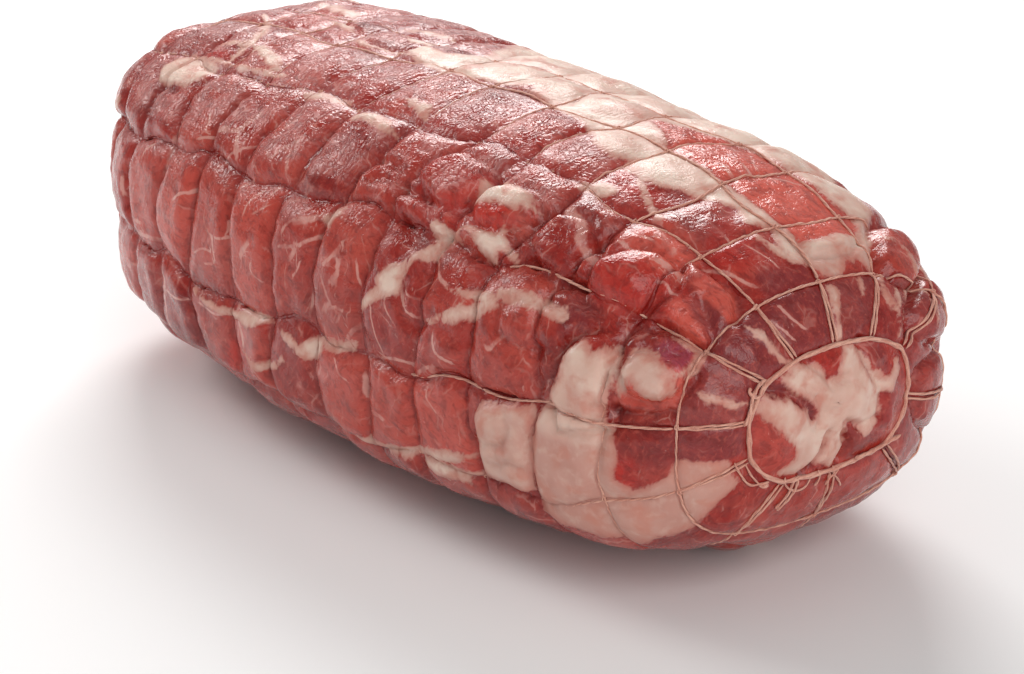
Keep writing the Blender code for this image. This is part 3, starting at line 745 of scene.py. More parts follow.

# %% [markdown]
# ## Tones of the lean
#
# Raw pork shoulder isn't one red. Muscle that has met the air is bright, the end panels that
# stayed covered are mauve, and the thin muscle over the cap is salmon where fat shines through.
# The dark tone is darker lean, and painted shade in the folds and low under the roast, and
# blush pinkens the fat and on the lower front and the end face also paints shade. Each tone
# is a soft patch with a strength, kept as its own value.

# %% Soft patches: strength, softness in mm, and outline
TONES = {
    "vivid": (
        (1.0, 3, (
            (5.9, 1.2), (5.7, 1.18), (5.3, 1.24), (5.05, 1.35), (5.5, 1.38), (5.85, 1.45),
        )),
        (0.8, 4, ((11.7, 3.2), (11.2, 3.2), (11.05, 3.5), (11.3, 3.5), (11.6, 3.4))),
        (0.9, 4, ((10.3, -0.85), (10.0, -0.85), (9.6, -0.6), (9.6, -0.4), (10.0, -0.45))),
        (0.9, 3, ((2.82, -0.7), (2.7, -0.85), (2.5, -0.75), (2.5, -0.45), (2.75, -0.4))),
        (0.8, 4, ((12.75, 2.1), (12.2, 2.1), (12.15, 2.28), (12.6, 2.25))),
        (0.9, 4, ((4.9, 2.4), (4.6, 2.2), (4.2, 2.15), (4.1, 2.35), (4.5, 2.38))),
        (0.7, 5, ((3.0, 1.1), (2.1, 1.1), (2.05, 1.3), (2.5, 1.5), (3.0, 1.55))),
        (0.5, 6, ((3.9, 1.0), (3.1, 1.0), (3.0, 1.6), (3.8, 1.6))),
        (0.5, 6, ((3.0, 1.7), (2.4, 1.7), (2.5, 2.5), (3.0, 2.7))),
        (0.6, 6, ((6.9, 1.1), (5.9, 1.1), (5.9, 1.7), (6.9, 1.7))),
        (1.0, 2, (
            (5.86, 1.26), (5.66, 1.32), (5.46, 1.38), (5.26, 1.4), (5.02, 1.36), (5.0, 1.32),
            (5.2, 1.22), (5.4, 1.19), (5.64, 1.18), (5.78, 1.18),
        )),
        (0.7, 3, (
            (3.76, 1.02), (3.78, 1.2), (3.6, 1.34), (3.36, 1.52), (3.04, 1.54), (2.88, 1.5),
            (2.9, 1.24), (2.96, 1.02), (3.16, 0.96), (3.5, 0.96),
        )),
        (0.8, 2, (
            (2.3, 0.8), (2.22, 0.86), (2.12, 0.88), (2.08, 0.78), (2.1, 0.68), (2.2, 0.7),
        )),
    ),
    "salmon": (
        (1.0, 4, LEAN_WINDOWS["salmon_window"]),
        (0.5, 9, ((7.9, -1.0), (4.9, -1.0), (4.9, -0.05), (7.9, -0.05))),
        (0.45, 9, ((13.0, 3.3), (12.1, 3.3), (12.1, 4.0), (13.0, 4.0))),
        (0.4, 8, ((12.9, 0.1), (9.0, 0.1), (9.0, 0.95), (12.9, 0.95))),
        (0.8, 3, (
            (2.76, 1.3), (2.56, 1.46), (2.42, 1.5), (2.28, 1.42), (2.1, 1.28), (1.98, 1.1),
            (2.1, 0.98), (2.32, 1.04), (2.56, 1.12),
        )),
        (0.75, 2, (
            (2.72, 1.6), (2.68, 1.8), (2.56, 1.92), (2.34, 1.94), (2.18, 1.86), (2.0, 1.68),
            (1.98, 1.5), (2.16, 1.52), (2.44, 1.56),
        )),
        (0.8, 5, ((2.84, 0.2), (2.84, 0.5), (2.5, 0.8), (1.9, 0.9), (1.86, 0.6), (2.0, 0.25))),
        (0.8, 4, (
            (3.72, 1.62), (3.76, 1.88), (3.76, 2.08), (3.58, 2.1), (3.22, 2.06), (2.92, 1.96),
            (2.88, 1.76), (2.82, 1.54), (3.06, 1.5), (3.36, 1.52),
        )),
    ),
    "mauve": (
        (0.9, 2, (
            (1.97, -0.7), (1.0, -0.75), (0.97, 0.0), (0.97, 4.0), (1.97, 4.0), (1.97, 1.0),
        )),
        (0.5, 3, ((1.97, 4.0), (0.97, 4.0), (0.97, 7.0), (1.97, 7.0))),
        (0.9, 3, ((2.4, 2.25), (2.0, 2.2), (1.97, 3.05), (2.25, 3.0), (2.3, 2.6))),
        (0.9, 2, ((2.6, 1.4), (2.05, 1.15), (1.97, 1.4), (2.2, 1.55), (2.45, 1.55))),
        (0.6, 8, ((12.9, -1.0), (10.6, -1.0), (10.6, -0.2), (12.9, -0.2))),
        (0.5, 5, ((2.3, -0.65), (1.98, -0.6), (1.98, 0.0), (2.4, 0.0))),
        (0.8, 2, ((2.4, 1.5), (2.16, 1.52), (1.96, 1.5), (1.9, 1.06), (2.12, 1.26))),
        (0.7, 3, ((3.78, 0.84), (3.54, 0.94), (3.36, 0.74), (3.46, 0.6), (3.7, 0.62))),
    ),
    # Darker lean, and painted shade in the folds and low under the roast.
    "dark_and_painted_shade": (
        (0.8, 5, ((11.95, 3.95), (11.5, 3.7), (11.05, 3.6), (11.05, 4.02))),
        (0.6, 5, ((10.65, 3.3), (10.3, 3.2), (10.05, 3.4), (10.05, 3.75), (10.4, 3.6))),
        (0.5, 5, ((9.95, 3.6), (9.4, 3.6), (9.15, 3.8), (9.2, 4.0), (9.95, 4.0))),
        (0.8, 3, ((3.05, 0.6), (2.85, 0.65), (2.7, 0.95), (3.05, 0.98))),
        (0.9, 3, ((2.95, 0.03), (2.55, 0.03), (2.6, 0.16), (2.9, 0.18))),
        (0.6, 4, ((4.0, 0.15), (3.7, 0.15), (3.55, 0.6), (3.9, 0.6))),
        (0.5, 5, ((2.8, -0.5), (2.05, -0.5), (2.05, 0.0), (2.8, 0.0))),
        (0.7, 3, ((5.2, 1.2), (4.85, 1.05), (4.85, 1.2), (5.1, 1.32))),
        (0.5, 9, ((7.0, -1.7), (4.0, -1.7), (4.0, -1.05), (7.0, -1.05))),
        (0.9, 2, ((4.0, 1.06), (3.8, 0.98), (4.0, 0.96), (4.46, 0.96), (4.32, 1.06))),
        (0.8, 2, ((3.82, 0.54), (3.7, 0.5), (3.72, 0.38), (3.76, 0.3), (3.84, 0.42))),
    ),
    "purple": (
        (1.0, 2.0, (
            (2.56, 0.78), (2.5, 0.84), (2.44, 0.9), (2.32, 0.9), (2.2, 0.92), (2.08, 0.9),
            (2.06, 0.78), (2.1, 0.68), (2.22, 0.7), (2.3, 0.7), (2.42, 0.74),
        )),
        (0.5, 3, ((8.42, 3.85), (8.2, 3.78), (8.15, 3.95), (8.35, 4.0))),
        (0.5, 3, ((3.5, 2.72), (3.25, 2.72), (3.2, 2.9), (3.4, 2.9))),
    ),
    # Pinker fat, and painted shade on the lower front and the end face.
    "blush_and_painted_shade": (
        (1.0, 12, ((4.2, -1.6), (1.0, -1.6), (1.0, -0.45), (2.3, -0.3), (4.2, -0.1))),
        (0.6, 8, ((5.0, -1.0), (3.9, -1.0), (3.9, 0.0), (5.0, 0.0))),
        (0.6, 5, ((3.4, 0.0), (2.9, 0.0), (2.95, 0.3), (3.4, 0.3))),
        (0.55, 5, ((2.74, 0.3), (2.1, 0.3), (2.0, 0.6), (2.3, 0.66), (2.64, 0.68))),
        (0.4, 12, ((2.9, -1.6), (1.0, -1.6), (1.0, -0.6), (2.0, -0.5), (2.9, -0.7))),
        (0.8, 5, ((2.4, 3.0), (1.9, 3.0), (1.9, 4.1), (2.4, 4.1))),
        (0.6, 6, ((6.2, 3.2), (5.2, 3.2), (5.0, 3.4), (5.6, 3.9), (6.2, 4.0))),
    ),
}
FACE_TONES = {
    "vivid": ((0.3, 3, ((-10, 72), (3, 70), (3, 64), (-2, 62), (-6, 66))),),
    "salmon": ((0.3, 5, ((-27, 58), (-19, 57), (-14, 51), (-13, 44), (-19, 41), (-26, 47))),),
    "mauve": (
        (0.9, 2, FACE_WEDGE),
        (0.3, 5, ((4, 53), (10, 50), (15, 46), (26, 46), (24, 60), (16, 60), (14, 52))),
        (0.9, 2, ((11, 71), (16, 69), (18, 64), (17, 61), (14, 63), (11, 67))),
    ),
    # Painted shade in the folds of the end face.
    "dark_and_painted_shade": (
        (0.8, 2, ((-3, 50), (-1, 49), (-3, 44), (-8, 40), (-11, 41), (-6, 45))),
        (0.7, 3, ((3, 50), (12, 47), (17, 43), (6, 40), (2, 44))),
        (0.5, 2, FACE_WEDGE),
    ),
    "purple": (),
    # Pinker fat, and painted shade over the end face.
    "blush_and_painted_shade": (
        (0.5, 5, ((-20, 52), (-8, 52), (-6, 43), (-20, 43))),
        (0.3, 4, ((-26, 74), (22, 74), (22, 38), (-26, 38))),
    ),
}


def tone_value(name):
    """Strength of one tone at every vertex."""
    value = np.zeros(along.shape)
    for depth_of, patches in ((depth_in, TONES[name]), (depth_on_face, FACE_TONES[name])):
        for strength, softness, outline in patches:
            inside = smooth_step(-softness / 2, softness / 2, depth_of(outline))
            value = np.maximum(value, strength * inside)
    return value


tones = {name: tone_value(name) for name in TONES}
print("mean tones:", {name: round(float(value.mean()), 3) for name, value in tones.items()})

# %% [markdown]
# ## The relief of the meat
#
# Meat bulges out of each cell like a small pillow, because the net can't stretch further.
# At the back and low on the side the pillows stand high with narrow grooves between them,
# and on top and near the front ring they are shallow cushions. Displacement in the material
# would look alike, but a mesh that is really moved also keeps its shape in the STL files.
# So each vertex moves along the log's normal: pillows first, then lobes and creases that
# have their own place, then unevenness.

# %% Pillows between the strings
PILLOW_AROUND = (-2.5, -1, -0.5, 0, 0.5, 1, 1.5, 2, 2.5, 3, 3.5, 4, 5, 6, 7, 8.5)
PILLOW_HEIGHT = (3.0, 3.2, 3.6, 3.8, 4.0, 3.8, 3.3, 2.6, 2.1, 1.9, 2.0, 2.3, 2.8, 3.0, 3.0, 3.0)
MOST_PROUD = 3.1 * MM  # above this a pillow is sunk instead, so that it stays in the CAD box
SHOULDER_HEIGHT = 1.4 * MM  # added where the side turns into the top, near the front
TAUT_SHARE = 0.35  # of the height, where the net is stretched flat at the front ring
FACE_SHARE = 0.85  # of the height, inside the rings


def pillow_depth(along, around):
    """Height of a pillow over its grooves, in metres."""
    turn = unwound(around)
    height = np.interp(turn, PILLOW_AROUND, PILLOW_HEIGHT) * MM
    shoulder = plateau(0.4, 1.1, 1.6, 2.3, turn) * plateau(2.2, 3.4, 7.5, 9.5, along)
    on_top = plateau(1.6, 2.4, 4.2, 5.0, turn)
    slack = smooth_step(1.8, 4.0 + 3.6 * on_top, along)
    return height * (TAUT_SHARE + (1 - TAUT_SHARE) * slack) + SHOULDER_HEIGHT * shoulder


def pillow_rise(share, narrow):
    """0 on a net line and 1 on the crown; a narrow of 2 makes its groove half as wide."""
    near = np.minimum(1, narrow * (1 - abs(2 * (share % 1) - 1)))
    return np.sqrt(1 - (1 - near) ** 2)


# Grooves wander by about 1 mm beside the yarn, because the meat gives way unevenly.
body = plateau(1.2, 2.2, 14.8, 15.8, cell_along)
wander = 0.05 * lumps(base, 7 * MM, 21.3) + 0.025 * lumps(base, 3 * MM, 33.9)
groove_along = cell_along + body * wander
wander = 0.035 * lumps(base, 8 * MM, 51.2) + 0.015 * lumps(base, 3 * MM, 63.1)
groove_around = cell_around + body * wander

# Every pillow has its own height, leans its own way and is a little paler or darker.
draw = np.random.default_rng(12)
cell_heights = draw.uniform(0.78, 1.0, (LAST + 1, STRINGS))
cell_leans = draw.uniform(-0.2, 0.2, (2, LAST + 1, STRINGS))
cell_shades = draw.uniform(-1, 1, (LAST + 1, STRINGS))
cell = (
    np.clip(np.floor(groove_along), 0, LAST).astype(int),
    np.floor(groove_around).astype(int) % STRINGS,
)
# A pillow is widest at its middle and narrows towards the strings, like a leaf. On top it
# is a shallow cushion with soft flanks.
flat = plateau(1.5, 2.3, 4.2, 5.0, around)
leaf = (1.2 + 0.6 * np.sin(np.pi * (groove_around % 1))) * (1 - 0.3 * flat)
pillows = cell_heights[cell] * pillow_rise(groove_along, leaf)
pillows = pillows * pillow_rise(groove_around, 1.9 - 0.7 * flat)
for lean, groove in zip(cell_leans, (groove_along, groove_around)):
    pillows = pillows * (1 + lean[cell] * (2 * (groove % 1) - 1))
inside_ring = (cell_along < 1) | (cell_along > LAST)
face_rise = smooth_step(0, 0.35, np.maximum(1 - cell_along, cell_along - LAST))
pillows = np.where(inside_ring, FACE_SHARE * face_rise, pillows)
depth_here = pillow_depth(cell_along, cell_around)
lift = depth_here * pillows - np.maximum(0, depth_here - MOST_PROUD)
print("pillows stand up to", round(depth_here.max() / MM, 1), "mm over their grooves")

# %% [markdown]
# The places where one muscle ends and the next begins show as lobes and folds that don't
# follow the net. They could be carved into the mesh by hand, but a named outline can be
# moved later. A positive height swells and a negative one cuts.

# %% Lobes: height, width of the rounded edge and depth of the crease in mm, and outline
LOBES = (
    (2.6, 5.0, 1.8, (
        (3.76, 1.04), (3.74, 1.32), (3.6, 1.6), (3.3, 1.74), (2.94, 1.7), (2.82, 1.44),
        (2.96, 1.02), (3.3, 0.9), (3.6, 0.92),
    )),
    (1.8, 5.0, 1.5, (
        (4.74, 1.26), (4.64, 1.58), (4.26, 1.66), (3.86, 1.44), (3.76, 1.1), (4.0, 0.96),
        (4.44, 1.02),
    )),
    (1.8, 4.5, 1.4, (
        (5.84, 1.34), (5.76, 1.54), (5.48, 1.66), (5.06, 1.66), (4.84, 1.42), (5.24, 1.26),
        (5.6, 1.2),
    )),
    (1.6, 4.0, 1.4, (
        (6.9, 1.46), (6.84, 1.68), (6.56, 1.8), (6.06, 1.76), (5.78, 1.62), (5.9, 1.46),
        (6.12, 1.28), (6.46, 1.26),
    )),
    (1.2, 3.0, 1.2, ((6.78, 1.04), (6.74, 1.26), (6.44, 1.26), (6.02, 1.02), (6.3, 0.94))),
    (1.1, 2.5, 1.0, (
        (5.96, 0.96), (5.78, 1.14), (5.48, 1.16), (5.1, 1.12), (4.78, 0.98), (4.94, 0.9),
        (5.22, 0.94), (5.58, 1.02),
    )),
    (2.2, 5.0, 1.8, (
        (2.82, 0.54), (2.68, 0.72), (2.4, 0.82), (2.08, 0.78), (1.86, 0.66), (2.0, 0.46),
        (2.18, 0.32), (2.42, 0.28), (2.64, 0.32),
    )),
    (1.8, 5.0, 1.4, (
        (3.6, 0.5), (3.46, 0.68), (3.18, 0.76), (3.02, 0.66), (2.84, 0.38), (2.82, -0.1),
        (3.52, -0.18), (3.7, 0.14),
    )),
    (1.0, 2.5, 1.0, (
        (2.66, 0.88), (2.58, 1.02), (2.26, 1.04), (2.08, 0.96), (2.24, 0.86), (2.44, 0.76),
    )),
    (1.2, 4.0, 1.0, (
        (4.62, 0.66), (4.26, 0.78), (3.86, 0.82), (3.54, 0.7), (3.7, 0.5), (4.2, 0.46),
        (4.54, 0.52),
    )),
    (3.4, 11.0, 1.8, (
        (2.95, 4.4), (3.0, 4.75), (2.7, 4.98), (2.3, 4.9), (1.95, 4.7), (1.9, 4.35),
        (2.2, 4.12), (2.6, 4.2),
    )),
    (4.2, 10.0, 1.8, (
        (2.3, 4.95), (2.4, 5.2), (2.2, 5.42), (1.8, 5.5), (1.35, 5.3), (1.2, 4.9),
        (1.4, 4.68), (1.9, 4.78),
    )),
    (2.0, 8.0, 2.0, (
        (2.2, 5.7), (2.2, 6.2), (1.9, 6.5), (1.3, 6.4), (1.05, 6.0), (1.2, 5.65), (1.8, 5.6),
    )),
)
CREASE_OUTSIDE, CREASE_REACH = 0.5, 1.3  # mm
for height, edge, crease, outline in LOBES:
    depth = depth_in(outline)
    dome = 1 - (1 - np.clip(depth / edge, 0, 1)) ** 2
    lift = lift + height * MM * np.sqrt(dome) * 0.8
    lift = lift - crease * MM * np.exp(-(((depth + CREASE_OUTSIDE) / CREASE_REACH) ** 2))
print(len(LOBES), "lobes")

# %% Folds: height in mm, width in mm and path
FOLDS = (
    (-1.8, 3.0, ((7.75, 1.5), (7.3, 1.47), (6.9, 1.28), (6.5, 1.22), (6.28, 1.1))),
    (-1.6, 3.0, ((7.6, 1.3), (7.2, 1.32), (6.85, 1.25))),
    (-1.4, 2.6, ((6.25, 0.62), (6.2, 0.42), (6.0, 0.33), (5.8, 0.38), (5.7, 0.5))),
    (-1.6, 3.0, ((3.95, 0.1), (3.7, 0.28), (3.6, 0.6), (3.35, 0.75), (3.05, 0.85))),
    (-2.4, 3.2, ((3.05, 0.1), (2.9, 0.12), (2.6, 0.1), (2.3, 0.12), (2.1, 0.2))),
    (-2.2, 3.2, ((3.0, 0.72), (2.9, 0.9), (2.6, 0.98), (2.2, 1.0), (2.0, 1.0))),
    (-1.6, 2.6, ((2.9, 0.25), (2.98, 0.45), (2.9, 0.65))),
    (-1.4, 2.6, ((4.9, -0.9), (4.85, -0.5), (4.9, -0.2), (4.7, -0.06), (4.3, -0.02))),
    (-1.0, 2.4, ((4.7, -0.55), (4.4, -0.5), (4.28, -0.3), (4.35, -0.12))),
    (-1.2, 2.4, ((4.6, -0.75), (4.3, -0.68), (4.1, -0.72))),
    (-1.5, 2.8, ((3.95, 1.0), (4.0, 1.3), (3.9, 1.6))),
    (-1.2, 2.6, ((2.62, 3.1), (2.35, 3.15), (2.28, 3.4), (2.3, 3.7), (2.5, 4.0))),
    (-1.3, 2.8, ((5.2, 1.2), (5.0, 1.28), (4.8, 1.1), (4.5, 1.04))),
    (-1.2, 2.8, ((6.0, 1.25), (5.9, 1.5), (5.95, 1.9))),
    (-1.0, 2.6, ((13.5, 1.75), (13.2, 1.58), (12.6, 1.55), (12.1, 1.75))),
    (-1.2, 2.8, ((12.2, 2.15), (12.25, 2.5), (12.5, 2.75))),
    (-1.2, 2.8, ((11.2, 3.5), (11.6, 3.68), (12.0, 3.9))),
    (-1.3, 2.8, ((10.65, 3.25), (10.2, 3.22), (10.0, 3.5))),
    (-1.4, 3.0, ((2.0, 4.05), (2.6, 4.28), (3.1, 4.55), (3.3, 5.0))),
    (-2.0, 2.8, (
        (2.86, 1.92), (2.7, 1.94), (2.54, 1.94), (2.38, 1.94), (2.28, 1.94), (2.16, 1.86),
        (2.08, 1.76), (1.96, 1.62),
    )),
    (-1.4, 2.6, ((2.46, 1.54), (2.32, 1.44), (2.16, 1.32), (2.02, 1.18), (1.9, 1.02))),
    (1.6, 9.0, ((2.75, 0.48), (2.3, 0.5))),
    (1.3, 8.0, ((2.4, 0.85), (2.1, 0.85))),
    (1.4, 9.0, ((3.7, 1.25), (3.3, 1.3))),
    (1.0, 7.0, ((5.6, 1.5), (5.2, 1.5))),
    (1.2, 8.0, ((4.6, -0.3), (4.5, -0.3))),
    (1.0, 8.0, ((2.4, 3.5), (2.3, 3.8))),
    (0.9, 7.0, ((6.1, 0.57), (5.9, 0.57))),
)
FACE_FOLDS = (
    (-2.4, 2.2, ((-2, 50), (-4, 45), (-9, 40))),
    (-2.4, 2.2, ((3, 49), (5, 45), (3, 41))),
    (-1.3, 2.4, ((-22, 66), (-16, 64), (-11, 60), (-8, 56))),
    (-1.5, 2.4, ((9, 71), (10, 66), (12, 62), (15, 59))),
    (-1.5, 2.4, ((3, 52), (9, 49), (14, 51), (15, 56))),
    (-1.1, 2.4, ((-10, 71), (-5, 67), (-2, 63), (3, 64))),
    (-1.0, 2.0, ((-7, 61), (-5, 57), (-6, 53))),
    (1.4, 10.0, ((-20, 51), (-19, 48))),
    (1.4, 9.0, ((6, 59), (5, 56))),
    (1.2, 8.0, ((-18, 60), (-15, 57))),
    (1.2, 10.0, ((19, 53), (18, 49))),
)
THIN = 0.01  # mm, so that the depth in a seam becomes the distance to its path
for folds, depth_of in ((FOLDS, depth_in), (FACE_FOLDS, depth_on_face)):
    for height, width, path in folds:
        distance = np.minimum(depth_of(path, THIN), 0)
        lift = lift + height * MM * np.exp(-((distance / (width / 2)) ** 2))
    print(len(folds), "folds")

# %% [markdown]
# Unevenness comes from smooth noise at three sizes: slack lumps of 15 mm, soft dents of
# 6 mm, and wrinkles of 2.5 mm that are drawn out along the roast, as the skin on cut meat
# wrinkles. Fat is smoother than lean.

# %% Unevenness
fatness = smooth_step(-0.5, 0.8, fat_depth)
free = smooth_step(0, 0.5, pillows)  # the grooves stay where the net holds them
for high, size, apart in ((0.9, 15, 3.1), (0.45, 6, 8.7)):  # mm, mm, and a shift
    lift = lift + high * MM * free * lumps(base, size * MM, apart)
wrinkles = lumps(base, 2.5 * MM, 5.3, (2.2, 1, 1))
lift = lift + 0.28 * MM * (1 - 0.7 * fatness) * (0.4 + 0.6 * free) * wrinkles
lift = lift + 0.3 * MM * fatness  # fat stands out of the cut a little
print("relief from", round(lift.min() / MM, 1), "to", round(lift.max() / MM, 1), "mm")

# %% [markdown]
# The finished mesh takes the place of the CAD node of the meat. Its object could be moved
# or turned into place, but a pattern on object coordinates would then slide in the export,
# so the place is in the mesh. Nothing may stand out of the CAD model's box.

# %% The meat as a piece


def add_object(name, data):
    """A new object in the scene. It stays at the origin, unturned and unscaled."""
    thing = bpy.data.objects.new(name, data)
    bpy.context.scene.collection.objects.link(thing)
    return thing


MARGIN = 0.2 * MM  # inside the CAD box, except on the table
lowest = np.array(cad_box[0]) + (MARGIN, MARGIN, 0)
points = np.clip(base + outward * lift[:, None], lowest, np.array(cad_box[1]) - MARGIN)
place_verts(meat_mesh, points)
meat_mesh.shade_smooth()
meat = add_object("pork", meat_mesh)
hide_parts("meat")
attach(meat, "root")
print("pork", len(meat_mesh.polygons), "faces")

# %% [markdown]
# The meat is creased sharply under each yarn, also where the yarn is hidden. A crease is
# finer than the mesh, so its distance is stored with a sign, as for the veins: a sine
# crosses zero on every net line, and nowhere else. It is counted from string 8, under the
# roast, so that the jump from the last string to the first makes no false crease.

# %% Distance to the nearest string and hoop, in mm
from_below = (groove_around + 3) % STRINGS - 3
cell_length = np.interp(cell_along, np.arange(1.5, LAST), -np.diff(HOOPS)) / MM
CELL_WIDTH = 35.0  # mm
string_line = np.sin(np.pi * from_below) * CELL_WIDTH / np.pi
hoop_line = np.sin(np.pi * groove_along) * cell_length / np.pi
string_line[inside_ring] = hoop_line[inside_ring] = CELL_WIDTH
print("hoops lie", round(float(cell_length.max()), 1), "mm apart")

# %% What the material needs to know at each vertex
# The pale film, and a painted sheen with it, shows where the meat looks up, most on the crowns
# of the pillows.
looks_up = smooth_step(0.3, 0.85, co_array(meat_mesh, "normal")[:, 2])
crown = smooth_step(0.35, 0.95, pillows)
film_and_sheen = looks_up * (0.25 + 0.75 * crown) * (0.15 + 0.85 * smooth_step(3.2, 6.0, along))
values = {
    "fat_depth": fat_depth,
    "vein_offset": vein_offset,
    "vein_near": vein_near,
    # Painted shade in the grooves between the pillows.
    "groove": (1 - smooth_step(0.0, 0.5, pillows)) * ~inside_ring,
    "string_line": string_line,
    "hoop_line": hoop_line,
    "film_and_sheen": 0.05 + 0.95 * film_and_sheen,
    "shade": cell_shades[cell] * ~inside_ring,
    **tones,
}
for name, value in values.items():
    attribute = meat_mesh.attributes.new(name, "FLOAT", "POINT")
    attribute.data.foreach_set("value", value.astype(np.float32))
print("values on the meat:", ", ".join(values))

# %% [markdown]
# ## Colours and nodes
#
# Colours are written as the sRGB hex values that one would pick on a screen, and one
# function turns them into the linear values that the renderer mixes. Another function
# adds a node with its settings and links, so that each material reads as a short list.

# %% Helpers for materials
FACTOR, UNDER, OVER, MIXED = 0, 6, 7, 2  # sockets of a Mix node that mixes colours
SMOOTH = {"interpolation_type": "SMOOTHSTEP"}


def linear(code):
    """Linear colour of an sRGB hex code."""
    channels = [int(code[i:i + 2], 16) / 255 for i in (0, 2, 4)]
    return (*[c / 12.92 if c <= 0.04045 else ((c + 0.055) / 1.055) ** 2.4 for c in channels], 1)


def feed(tree, target, inputs):
    """Gives each input of a node its value, or a link from the output that it names."""
    for key, value in inputs.items() if isinstance(inputs, dict) else enumerate(inputs):
        if isinstance(value, bpy.types.NodeSocket):
            tree.links.new(value, target.inputs[key])
        else:
            target.inputs[key].default_value = value


def node(tree, kind, inputs=(), output=0, **settings):
    """Adds a node, makes its settings, feeds its inputs, and gives one output."""
    new = tree.nodes.new("ShaderNode" + kind)
    for name, value in settings.items():
        setattr(new, name, value)
    feed(tree, new, inputs)
    return new.outputs[output]


def new_material(name):
    """A new material, with its tree and its shader."""
    material = bpy.data.materials.new(name)
    material.use_nodes = True
    return material, material.node_tree, material.node_tree.nodes["Principled BSDF"]


print("the red B2453A in linear values:", [round(part, 3) for part in linear("B2453A")])

# %% [markdown]
# ## Raw pork
#
# Cut pork is wet muscle: light enters it a few millimetres, so its shadows are red, and a
# thin film of juice gives it a sharp gloss. The eye reads it by its parts: lean with fine
# fibres, white marbling that branches through it, sheets of cream fat with ragged edges,
# and a pale film that crinkles on top, painted with a sheen on its crests. All of it is
# one Principled shader. The colour is mixed in layers from the deepest to the topmost, and
# every pattern's scale is the real size in millimetres, seen on the roast.

# %% Where the pork's patterns are read
pork, tree, shader = new_material("raw_pork_cut_and_moist")
place = node(tree, "TexCoord", output="Object")
# Veins and edges read shaken places, so that they wander as tissue does.
shake = node(tree, "TexNoise", {"Vector": place, "Scale": 1 / (9 * MM), "Detail": 3.0}, "Color")
shift = node(tree, "VectorMath", (shake, (0.5, 0.5, 0.5)), operation="SUBTRACT")
shaken = node(tree, "VectorMath", (shift, (7 * MM,) * 3, place), operation="MULTIPLY_ADD")
# Muscle fibres lie one way in one part and another way in the next. The texture is turned
# about Y, which looks out of the side, and drawn out along the fibres.
GRAINS = {"rising": (-58, 3.0), "falling": (24, 3.0), "upright": (-84, 2.4)}
grained = {
    name: node(
        tree, "Mapping",
        {"Vector": shaken, "Rotation": (0, math.radians(turn), 0.3), "Scale": (stretch, 1, 1)},
        vector_type="TEXTURE",
    )
    for name, (turn, stretch) in GRAINS.items()
}
known = {name: node(tree, "Attribute", output="Fac", attribute_name=name) for name in values}
print("directions of the fibres:", ", ".join(grained))

# %% Noises: size in mm, detail, and where each is read
NOISES = {
    "broad": (14, 2, place), "broad_too": (19, 2, shaken), "part": (17, 1, place),
    "part_too": (22, 1, shaken), "mottle": (3.2, 3, shaken), "edge": (5, 3, place),
    "fray": (1.3, 2, grained["rising"]), "lobes": (9, 2, place), "blood": (7, 3, shaken),
    "breaks": (9, 2, place), "breaks_too": (7, 2, shaken), "wet": (4, 3, place),
    "film_and_sheen": (10, 2, shaken), "ridges": (2.0, 2, shaken),
    "fibres": (1.0, 3, grained["rising"]), "fibres_too": (1.2, 3, grained["falling"]),
    "flecks": (1.5, 2, grained["upright"]),
}
noises = {
    name: node(tree, "TexNoise", {"Vector": where, "Scale": 1 / (size * MM), "Detail": detail})
    for name, (size, detail, where) in NOISES.items()
}
print("the pork has", len(noises), "noise textures")

# %% [markdown]
# Where fat meets lean, the edge is sharp but not smooth: bundles of muscle reach into the
# fat. So the stored depth is shaken by two noises before it is cut off at zero.

# %% Fat: its edge is ragged by 2 mm, and frays along the fibres
RAGGED, FRAYED = 3.0, 2.2  # mm that each noise adds where it is 1
depth = known["fat_depth"]
ragged = node(tree, "Math", (noises["edge"], RAGGED, depth), operation="MULTIPLY_ADD")
frayed = node(tree, "Math", (noises["fray"], FRAYED, ragged), operation="MULTIPLY_ADD")
EDGE = (RAGGED + FRAYED) / 2  # a noise is 0.5 on average
fat = node(tree, "MapRange", (frayed, EDGE - 0.6, EDGE + 0.5), **SMOOTH)
print("the edge of fat wanders about", EDGE, "mm either way at most")

# %% [markdown]
# Marbling is fat between bundles of fibres. The bundles meet in a network, and fat shows in
# some of its edges and not in others. A Voronoi texture gives the distance to the edges of
# such bundles, 7.5 to 11 mm across and drawn out along the fibres. Its lines are about
# 0.5 mm wide, and noise breaks them into strokes. Plain noise would give closed curves.

# %% Marbling: bundle size in mm, line width as a share of it, and where it shows
NETWORKS = (
    ("rising", 9.5, 0.036, "part", "breaks"), ("falling", 11.0, 0.034, "part_too", "breaks"),
    ("upright", 7.5, 0.036, "broad", "breaks_too"),
)
marbling = 0.0
halo = 0.0
for direction, size, width, part, breaks in NETWORKS:
    bundles = {"Vector": grained[direction], "Scale": 1 / (size * MM)}
    rim = node(tree, "TexVoronoi", bundles, feature="DISTANCE_TO_EDGE")
    shown = node(tree, "MapRange", (noises[part], 0.44, 0.56), **SMOOTH)
    broken = node(tree, "MapRange", (noises[breaks], 0.5, 0.66, 0.0, shown), **SMOOTH)
    line = node(tree, "MapRange", (rim, width * 0.2, width, broken, 0.0), **SMOOTH)
    soft = node(tree, "MapRange", (rim, 0.0, width * 5, broken, 0.0), **SMOOTH)
    marbling = node(tree, "Math", (marbling, line), operation="MAXIMUM")
    halo = node(tree, "Math", (halo, soft), operation="MAXIMUM")
flecks = node(tree, "MapRange", (noises["flecks"], 0.7, 0.78), **SMOOTH)
marbling = node(tree, "Math", (marbling, flecks), operation="MAXIMUM")
